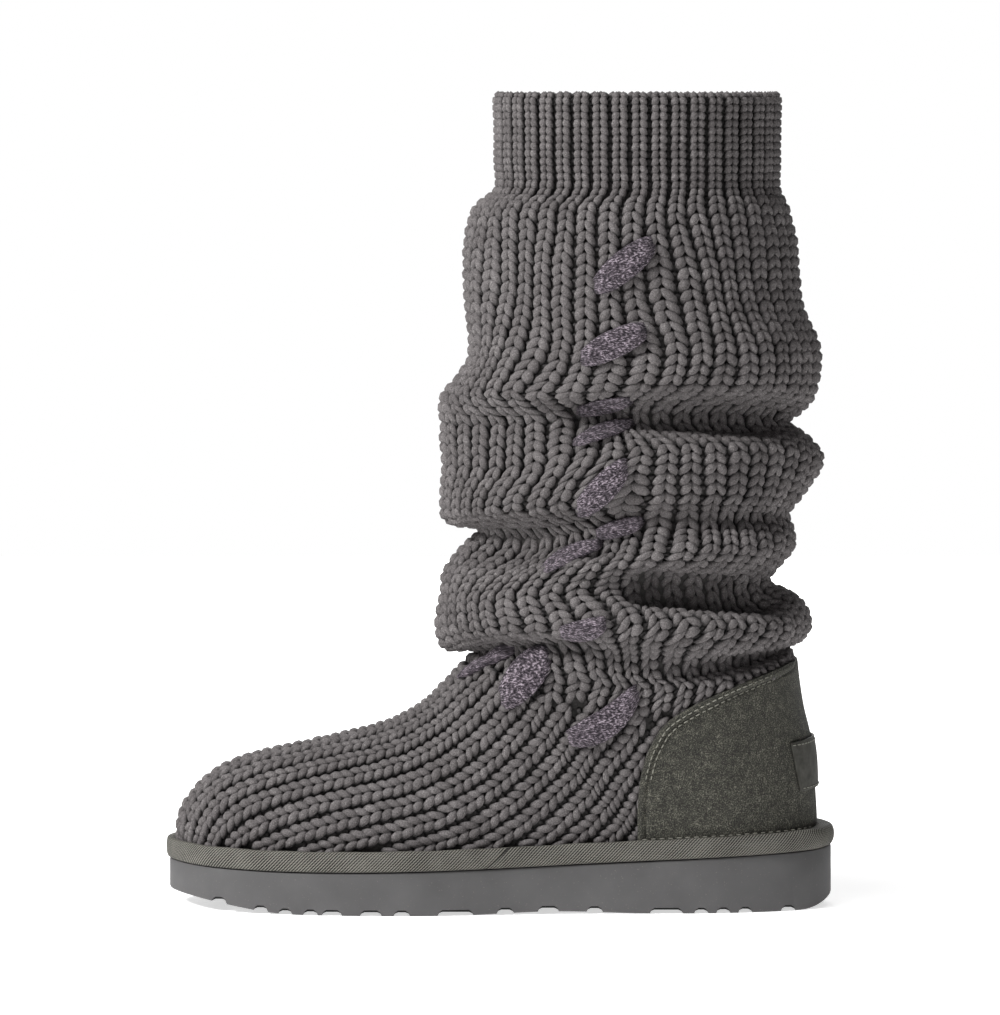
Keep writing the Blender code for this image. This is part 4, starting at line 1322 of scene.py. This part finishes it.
# Heel counter
# A cup of brushed suede sewn round the heel with two rows of pale thread along its upper edge. Its foot
# is caught under the binding, with one more row of thread close above the tape.
COUNTER_THICKNESS = 0.0018
COUNTER_TOP = 0.935
COUNTER_RIM = 0.0030
HEM_SEAM = (0.715, 0.965)
HEM_SEAM_OUT = 0.0020
HEM_SEAM_LIFT = 0.0004
HEM_PITCH = 0.0034
COUNTER_FOOT = 0.95
COUNTER_RIM_HEIGHT = 0.0003
COUNTER_GROOVE_PLACE = 1.15
COUNTER_GROOVE_WIDTH = 0.0005
COUNTER_GROOVE_DEPTH = 0.0006
COUNTER_SEAM = (0.42, 0.945)
COUNTER_SEAM_PITCH = 0.0027
COUNTER_SEAM_ROWS = (
    # inset from the counter's edge, lift off the suede
    (0.0021, 0.0009),
    (0.0042, 0.0002),
)
THREAD_SEAT = 0.00005
THREAD_LENGTH = 0.0019
THREAD_THICKNESS = 0.0006
THREAD_ROUTE = (
    # along as a share of the length, thickness as a share
    (-0.50, 0.4),
    (-0.36, 0.9),
    (0.00, 1.0),
    (0.36, 0.9),
    (0.50, 0.4),
)


def suede_finish():
    """Olive-grey brushed suede, its fine nap flecked pale and dark."""
    material, tree = finish_of("olive_suede_finish", roughness=0.92, sheen=0.03)
    nap = noise(tree, scale=2200, detail=3.0, rough=0.6)
    mottle = noise(tree, scale=300, detail=3.0)
    colour = ramp(tree, calc(tree, "MULTIPLY_ADD", mottle, 0.24, nap), (
        (0.46, (0.014, 0.014, 0.012)), (0.66, (0.048, 0.047, 0.039)), (0.84, (0.210, 0.202, 0.162)),
    ))
    return dressed(material, colour, nap, depth=0.0005, strength=0.6)


def heel_rows(levels, front, columns):
    """Rows of the heel's surface at rises, each from the outer front edge round the back to the inner."""
    rows = []
    for level in levels:
        back = float(heel_back(level))
        start = min(front(level), back - 0.0004)
        share = np.sin(np.linspace(0, np.pi / 2, 121))
        x = start + (back - start) * share
        halves = [foot_surface(x, np.full_like(x, level), side) for side in (0, 1)]
        rows.append(spaced(np.vstack([halves[0], halves[1][::-1][1:]]), columns))
    return rows


def sheet_border(rows, columns):
    """Points round the border of a grid, from its first point back to it."""
    return [
        *range(columns),
        *range(2 * columns - 1, rows * columns, columns),
        *range(rows * columns - 2, (rows - 1) * columns - 1, -1),
        *range((rows - 2) * columns, -1, -columns),
    ]


def overlay_shell(name, rows, low, high, material):
    """A soft-edged shell over rows of the heel, between two distances from the knit."""
    grid = np.array(rows)
    normals = grid_normals(grid)
    normals = normals * np.sign(np.sum(normals[:, :, 0] * (grid[:, :, 0] - sole_x(HEEL_MIDDLE))))
    layers = [(grid + normals * np.broadcast_to(reach, grid.shape)).reshape(-1, 3) for reach in (low, high)]
    size = grid.shape[:2]
    faces = shell_faces(*size, sheet_border(*size))
    shell = turned_out(mesh_object(name, np.concatenate(layers), faces, material))
    bevel = shell.modifiers.new("soft_edge", "BEVEL")
    bevel.width = float(np.max(high) - low) * 0.35
    bevel.segments = 2
    bevel.limit_method = "ANGLE"
    bevel.angle_limit = math.radians(50)
    settled(shell)
    shell.data.shade_smooth()
    return shell


def counter_line(inset, low, high, count):
    """Points along and rise of a line inside the counter's edge, from its foot up."""
    rise = np.linspace(low, high, 400)
    edge = np.stack([sole_x(hermite(COUNTER_EDGE, 1, rise)), rise * INSTEP_HEIGHT], axis=1)
    way = np.gradient(edge, axis=0)
    way /= np.linalg.norm(way, axis=1, keepdims=True)
    return spaced(edge + inset * np.stack([way[:, 1], -way[:, 0]], axis=1), count)


def heel_counter():
    """The suede cup, with a raised rim along its edge and a groove inside that."""
    foot = (BINDING_HEIGHT * COUNTER_FOOT) / INSTEP_HEIGHT
    levels = foot + (COUNTER_TOP - foot) * np.sin(np.linspace(0, np.pi / 2, 90))
    rows = heel_rows(levels, lambda level: sole_x(float(hermite(COUNTER_EDGE, 1, level))), 221)
    grid = np.array(rows)
    rise = levels[:, None, None] * INSTEP_HEIGHT
    line = counter_line(0.0, 0.0, COUNTER_TOP, 160)
    away = np.min(np.hypot(grid[:, :, :1] - line[:, 0], rise - line[:, 1]), axis=2, keepdims=True)
    swell = np.where(away < COUNTER_RIM, 0.5 - 0.5 * np.cos(2 * np.pi * away / COUNTER_RIM), 0.0)
    groove = np.exp(-(((away - COUNTER_RIM * COUNTER_GROOVE_PLACE) / COUNTER_GROOVE_WIDTH) ** 2))
    high = GAP + COUNTER_THICKNESS + COUNTER_RIM_HEIGHT * swell - COUNTER_GROOVE_DEPTH * groove
    return overlay_shell("heel_counter_suede", rows, GAP, high, suede_finish())


def thread_finish():
    """Pale waxed thread."""
    return finish_of("pale_thread_finish", 0.7, more={"Base Color": (0.24, 0.235, 0.20, 1)})[0]


def sewing_tree():
    """Geometry nodes that lay thread stitches along a path at an even pitch."""
    tree, given = new_tree("sewing", {
        "Object": ("Path", "Thread"), "Material": ("Cotton",), "Float": ("Pitch",), "Int": ("Seed",),
    })
    path, thread = meshes_of(tree, given["Path"], given["Thread"])
    curve = node(tree, "GeometryNodeMeshToCurve", {"Mesh": path})[0]
    even = {"Curve": curve, "Length": given["Pitch"]}
    curve = node(tree, "GeometryNodeResampleCurve", even, mode="LENGTH")[0]
    tangent = node(tree, "GeometryNodeInputTangent")[0]
    turn = node(tree, "FunctionNodeAlignRotationToVector", {"Vector": tangent}, axis="X")[0]
    size = drawn(tree, 0.85, 1.1, given["Seed"])
    row = node(tree, "GeometryNodeInstanceOnPoints", {
        "Points": curve, "Instance": thread, "Rotation": turn, "Scale": size,
    })[0]
    row = node(tree, "GeometryNodeRealizeInstances", {"Geometry": row})[0]
    return ended(tree, row, given["Cotton"])


def thread_pattern(length, thickness):
    """One stitch of thread along X, tapered to its ends."""
    route = [(np.array([x * length, 0.0, 0.0]), r * thickness / 2) for x, r in THREAD_ROUTE]
    points, faces = tube(route, 6, 0.8)
    return turned_out(mesh_object("thread_pattern", points, faces))


def seam_row(name, points, pitch, seed):
    """A row of thread along a path of points."""
    edges = [(k, k + 1) for k in range(len(points) - 1)]
    path = mesh_object(name + "_path", points, [], edges=edges)
    row = knit_piece(name, sewing, {
        "Path": path, "Thread": thread, "Cotton": cotton, "Pitch": pitch, "Seed": seed,
    })
    bpy.data.objects.remove(path)
    return row


counter = heel_counter()
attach(counter, "root")
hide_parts("heel_counter")
cotton = thread_finish()
thread = thread_pattern(THREAD_LENGTH, THREAD_THICKNESS)
sewing = sewing_tree()
over_suede = GAP + COUNTER_THICKNESS + THREAD_SEAT
for side, side_name in ((0, "lateral"), (1, "medial")):
    outwards = np.array([0.0, -1.0 if side == 0 else 1.0, 0.0])
    for number, (inset, lift) in enumerate(COUNTER_SEAM_ROWS):
        line = counter_line(inset, *COUNTER_SEAM, 200)
        points = foot_surface(line[:, 0], line[:, 1] / INSTEP_HEIGHT, side) + outwards * (over_suede + lift)
        row = seam_row(f"counter_seam_{side_name}_{number}", points, COUNTER_SEAM_PITCH, 70 + number)
        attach(row, "root")
        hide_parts("heel_counter")
hem_path = sole_outline(lambda along: COUNTER_THICKNESS + HEM_SEAM_OUT - rim(along), 1200)
for side, side_name in ((-1, "lateral"), (1, "medial")):
    half = hem_path[(hem_path[:, 1] * side > 0.0) & (hem_path[:, 0] > sole_x(HEM_SEAM[0]))]
    half = half[(half[:, 0] < sole_x(HEM_SEAM[1]))]
    half = half[np.argsort(half[:, 0])]
    height = knit_foot(half[:, 0] / SOLE_LENGTH + 0.5) + BINDING_HEIGHT + HEM_SEAM_LIFT
    row = seam_row(f"hem_seam_{side_name}", np.column_stack([half, height]), HEM_PITCH, 80)
    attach(row, "root")
    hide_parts("heel_counter")


# Heel patch
# A small soft oblong wraps the back of the counter. It is glued on and sewn down with the same pale
# thread, one row along its foot and one along its top.
PATCH_THICKNESS = 0.0010
PATCH_HEIGHT = 0.0200
PATCH_FRONT = 0.927
PATCH_LEAN = 0.0147
PATCH_RISE = 0.292
PATCH_SEAM_INSET = 0.014
PATCH_SEAM_FRONT = 0.004
PATCH_SEAM_PITCH = 0.0028
PATCH_SEAM_LIFT = 0.0001
PATCH_SEAM_POINTS = 161


def patch_finish():
    """Smooth worn patch, a little paler than the suede."""
    material, tree = finish_of("heel_patch_finish", roughness=0.75)
    wear = noise(tree, scale=260, detail=4.0, rough=0.6)
    colour = ramp(tree, wear, ((0.3, (0.034, 0.033, 0.028)), (0.7, (0.072, 0.070, 0.061))))
    return dressed(material, colour, wear, depth=0.0003, strength=0.4)


def heel_patch():
    """The patch's shell round the back of the heel."""
    height = PATCH_HEIGHT / INSTEP_HEIGHT
    levels = np.linspace(PATCH_RISE, PATCH_RISE + height, 24)

    def front(level):
        return sole_x(PATCH_FRONT + PATCH_LEAN * (PATCH_RISE + height - level) / height)

    base = GAP * 2 + COUNTER_THICKNESS
    rows = heel_rows(levels, front, 81)
    return overlay_shell("heel_patch_bare", rows, base, base + PATCH_THICKNESS, patch_finish())


patch = heel_patch()
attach(patch, "root")
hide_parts("heel_patch")
patch_top = PATCH_RISE + PATCH_HEIGHT / INSTEP_HEIGHT
over_patch = GAP * 2 + COUNTER_THICKNESS + PATCH_THICKNESS + PATCH_SEAM_LIFT
for number, level in enumerate((PATCH_RISE + PATCH_SEAM_INSET, patch_top - PATCH_SEAM_INSET)):
    front = sole_x(PATCH_FRONT + PATCH_LEAN * (1 - number) + PATCH_SEAM_FRONT)
    edge = heel_rows([level], lambda _: front, PATCH_SEAM_POINTS)[0]
    way = np.gradient(edge, axis=0)
    way = np.column_stack([way[:, 1], -way[:, 0], np.zeros(len(way))])
    way *= np.sign(way[PATCH_SEAM_POINTS // 2, 0]) / np.linalg.norm(way, axis=1, keepdims=True)
    edge = edge + way * over_patch
    row = seam_row(f"patch_seam_{number}", edge, PATCH_SEAM_PITCH, 90 + number)
    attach(row, "root")
    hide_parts("heel_patch")
bpy.data.objects.remove(thread)


# Ribbon
# A flat chenille ribbon is worked through the rib with a big needle, up both sides and round the front
# of the ankle. Only its outer stitches show, each a short plump leaf that dives between the wales.
RIBBON_WIDTH = 0.0116
RIBBON_THICKNESS = 0.0026
RIBBON_STITCH = 0.0280
RIBBON_SEAT = 0.0010
RIBBON_CUT = 0.6
RIBBON_TAPER = 0.84
RIBBON_UNDER = 0.0006
RIBBON_DIVE = 0.0030
RIBBON_DIVE_START = 0.82
RIBBON_STEPS = 28
RIBBON_LANES = 12
RIBBON_EASING = 6
SKIN_PITCH = 0.003
RIBBON_SIDE_STITCHES = (
    # azimuth, rise, reach, length, tilt, width, bow
    (90, 0.870, 0.055, 1.10, 36, 1.00, 0.0),
    (90, 0.718, 0.115, 1.08, 24, 0.95, 0.3),
    (90, 0.597, 0.168, 0.84, 12, 0.55, -0.3),
    (90, 0.545, 0.168, 0.94, 18, 0.50, 1.2),
    (90, 0.441, 0.180, 1.02, 43, 0.95, -0.4),
    (90, 0.362, 0.080, 0.74, 16, 0.60, 0.0),
    (90, 0.306, 0.345, 0.98, 24, 0.52, 1.5),
    (90, 0.172, 0.290, 0.72, 14, 0.80, -1.6),
    (90, 0.068, 0.618, 0.98, 42, 1.25, 0.3),
    (90, 0.000, 0.175, 1.30, 35, 1.00, -4.2),
    (20, 0.092, 0.000, 0.70, 35, 0.60, 0.0),
)


def chenille_finish():
    """Velvety purple-grey pile in short strokes along the ribbon, pale tips, painted shade in its depth."""
    material, tree = finish_of("chenille_finish", roughness=0.9, sheen=0.06)
    uv = node(tree, "ShaderNodeUVMap", uv_map="UVMap")[0]
    strokes = node(tree, "ShaderNodeVectorRotate", {0: uv, 3: 0.5}, rotation_type="Z_AXIS")[0]
    strokes = node(tree, "ShaderNodeVectorMath", {0: strokes, 1: (700, 1900, 1)}, operation="MULTIPLY")[0]
    pile = noise(tree, scale=1.0, rough=0.6, place=strokes)
    mixed = calc(tree, "MULTIPLY_ADD", noise(tree, scale=420, detail=1.0), 0.35, pile)
    # The colour follows the bump's height: dark low in the pile as painted shade, pale at the tips.
    colour = ramp(tree, mixed, (
        (0.54, (0.010, 0.007, 0.011)), (0.70, (0.078, 0.062, 0.076)), (0.86, (0.40, 0.34, 0.39)),
    ))
    return dressed(material, colour, mixed, depth=0.0012, strength=1.0)


def ribbon_stitch(name, tree, side, stitch, material):
    """One ribbon stitch that lies on the knit, crowned across and tucked in at its ends."""
    azimuth, rise, reach, length, tilt, width, bow = stitch
    angle = math.radians(azimuth)
    lean = math.radians(tilt)
    out = Vector((-math.cos(angle), -side * math.sin(angle), 0))
    right = Vector((math.sin(angle), -side * math.cos(angle), 0))
    up = Vector((0, 0, 1))
    run = right * math.cos(lean) + up * math.sin(lean)
    side_way = up * math.cos(lean) - right * math.sin(lean)
    foot = Vector((SHAFT_AXIS, 0, ANKLE_HEIGHT + rise * (CUFF_FOOT - ANKLE_HEIGHT)))
    start = foot - right * (reach * SHAFT_DEPTH / 2) + out * SHAFT_DEPTH
    spots = [
        (i, j, 2 * i / RIBBON_STEPS - 1, 2 * j / RIBBON_LANES - 1)
        for i in range(RIBBON_STEPS + 1)
        for j in range(RIBBON_LANES + 1)
    ]
    depth = np.zeros((RIBBON_STEPS + 1, RIBBON_LANES + 1))
    places = {}
    for i, j, share, across in spots:
        taper = (1 - RIBBON_TAPER * abs(share) ** 2.4) ** 0.6
        lane = across * taper * width * RIBBON_WIDTH / 2
        cut = lane * math.tan(lean) * RIBBON_CUT
        arch = bow * (1 - share ** 2) / 1000
        place = start + run * (share * length * RIBBON_STITCH / 2 + cut) + side_way * (lane + arch)
        places[i, j] = place
        hit = tree.ray_cast(place, -out)[0]
        depth[i, j] = (hit - place).dot(-out) if hit else SHAFT_DEPTH / 2
    for _ in range(RIBBON_EASING):
        padded = np.pad(depth, 1, mode="edge")
        around = padded[:-2, 1:-1] + padded[2:, 1:-1] + padded[1:-1, :-2] + padded[1:-1, 2:]
        depth = np.minimum(depth, around / 4)
    over = []
    under = []
    for i, j, share, across in spots:
        rest = places[i, j] - out * (depth[i, j] - RIBBON_SEAT)
        crown = 0.6 * (1 - across ** 4) ** 0.5 * (1 - 0.9 * share ** 6) + 0.4 * (1 - share ** 6)
        dive = RIBBON_DIVE * max(0.0, abs(share) - RIBBON_DIVE_START) / (1 - RIBBON_DIVE_START)
        over.append(rest + out * (RIBBON_THICKNESS * crown - dive))
        under.append(rest - out * (RIBBON_UNDER + dive))
    faces = shell_faces(*depth.shape, sheet_border(*depth.shape))
    leaf = turned_out(mesh_object(name, over + under, faces, material))
    corners = np.empty(len(leaf.data.loops), np.int32)
    leaf.data.loops.foreach_get("vertex_index", corners)
    uvs = [((share + 1) / 2 * length, (across + 1) / 2) for _, _, share, across in spots] * 2
    uv_map(leaf, np.array(uvs)[corners] * (RIBBON_STITCH, RIBBON_WIDTH))
    return leaf


chenille = chenille_finish()
shaft_rows = creased(np.array(rows_between(SHAFT_KNOTS, SKIN_PITCH)))
foot_rows = np.array(rows_between(FOOT_KNOTS, SKIN_PITCH))
shaft_size = shaft_rows.shape[:2]
skin_faces = sheet_faces(*shaft_size) + sheet_faces(*foot_rows.shape[:2], start=math.prod(shaft_size))
knit_tree = BVHTree.FromPolygons(
    [tuple(point) for point in np.concatenate([shaft_rows, foot_rows]).reshape(-1, 3)], skin_faces,
)
for side, side_name in ((1, "lateral"), (-1, "medial")):
    for number, row in enumerate(RIBBON_SIDE_STITCHES, 1):
        name = f"ribbon_{side_name}_{number:02d}"
        leaf = ribbon_stitch("chenille_" + name, knit_tree, side, row, chenille)
        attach(leaf, "root")
        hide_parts(name)


# Studio
# The boot stands on a plain pale floor under soft light from above and both sides, seen from its outer
# side by a long lens at the height of its shaft.
CAMERA_DISTANCE = 2.75
CAMERA_HEIGHT = 0.33
PIXEL = 0.0004
IMAGE_HEIGHT = 1015
AIM_HEIGHT = 0.1589
FLOOR_HALF = 2.0
LAMPS = (
    # name, place, size, power
    ("key", (-1.95, -1.2, 1.85), 0.5, 92),
    ("fill", (-0.2, -2.4, 0.6), 1.2, 4),
    ("back", (0.3, 2.0, 0.9), 1.3, 30),
    ("top", (-0.5, -0.5, 2.2), 0.9, 17),
)
LAMP_AIM = (0, 0, 0.14)
ROOM_LIGHT = 0.05


def floor_finish():
    """Plain white floor, as pale as the paper behind it."""
    return finish_of("floor_finish", 0.9, more={
        "Base Color": (0.9, 0.9, 0.9, 1),
        "Emission Color": (1, 1, 1, 1),
        "Emission Strength": 0.6,
    })[0]


def area_light(name, place, size, power):
    """A soft square lamp that faces the boot."""
    lamp = bpy.data.lights.new(name, "AREA")
    lamp.shape = "SQUARE"
    lamp.size = size
    lamp.energy = power
    thing = placed(name, lamp)
    thing.location = place
    thing.rotation_euler = (Vector(LAMP_AIM) - Vector(place)).to_track_quat("-Z", "Y").to_euler()


corners = [(x * FLOOR_HALF, y * FLOOR_HALF, 0) for x, y in ((-1, -1), (1, -1), (1, 1), (-1, 1))]
floor = mesh_object("floor", corners, [(0, 1, 2, 3)], floor_finish())
for lamp in LAMPS:
    area_light(*lamp)
world = bpy.data.worlds.new("studio")
bpy.context.scene.world = world
world.use_nodes = True
paper = world.node_tree
rays = node(paper, "ShaderNodeLightPath")["Is Camera Ray"]
glow = ranged(paper, rays, 0.0, 1.0, ROOM_LIGHT, 1.0)
paper.nodes["Background"].inputs[0].default_value = (1, 1, 1, 1)
paper.links.new(glow, paper.nodes["Background"].inputs[1])
bpy.context.scene.view_settings.view_transform = "Standard"

lens = bpy.data.cameras.new("camera")
lens.sensor_width = 36
lens.sensor_fit = "AUTO"
lens.lens = lens.sensor_width * CAMERA_DISTANCE / (IMAGE_HEIGHT * PIXEL)
lens.clip_end = 30
camera = placed("camera", lens)
camera.location = (0, -CAMERA_DISTANCE, CAMERA_HEIGHT)
camera.rotation_euler = (math.pi / 2 - math.atan2(CAMERA_HEIGHT - AIM_HEIGHT, CAMERA_DISTANCE), 0, 0)
bpy.context.scene.camera = camera
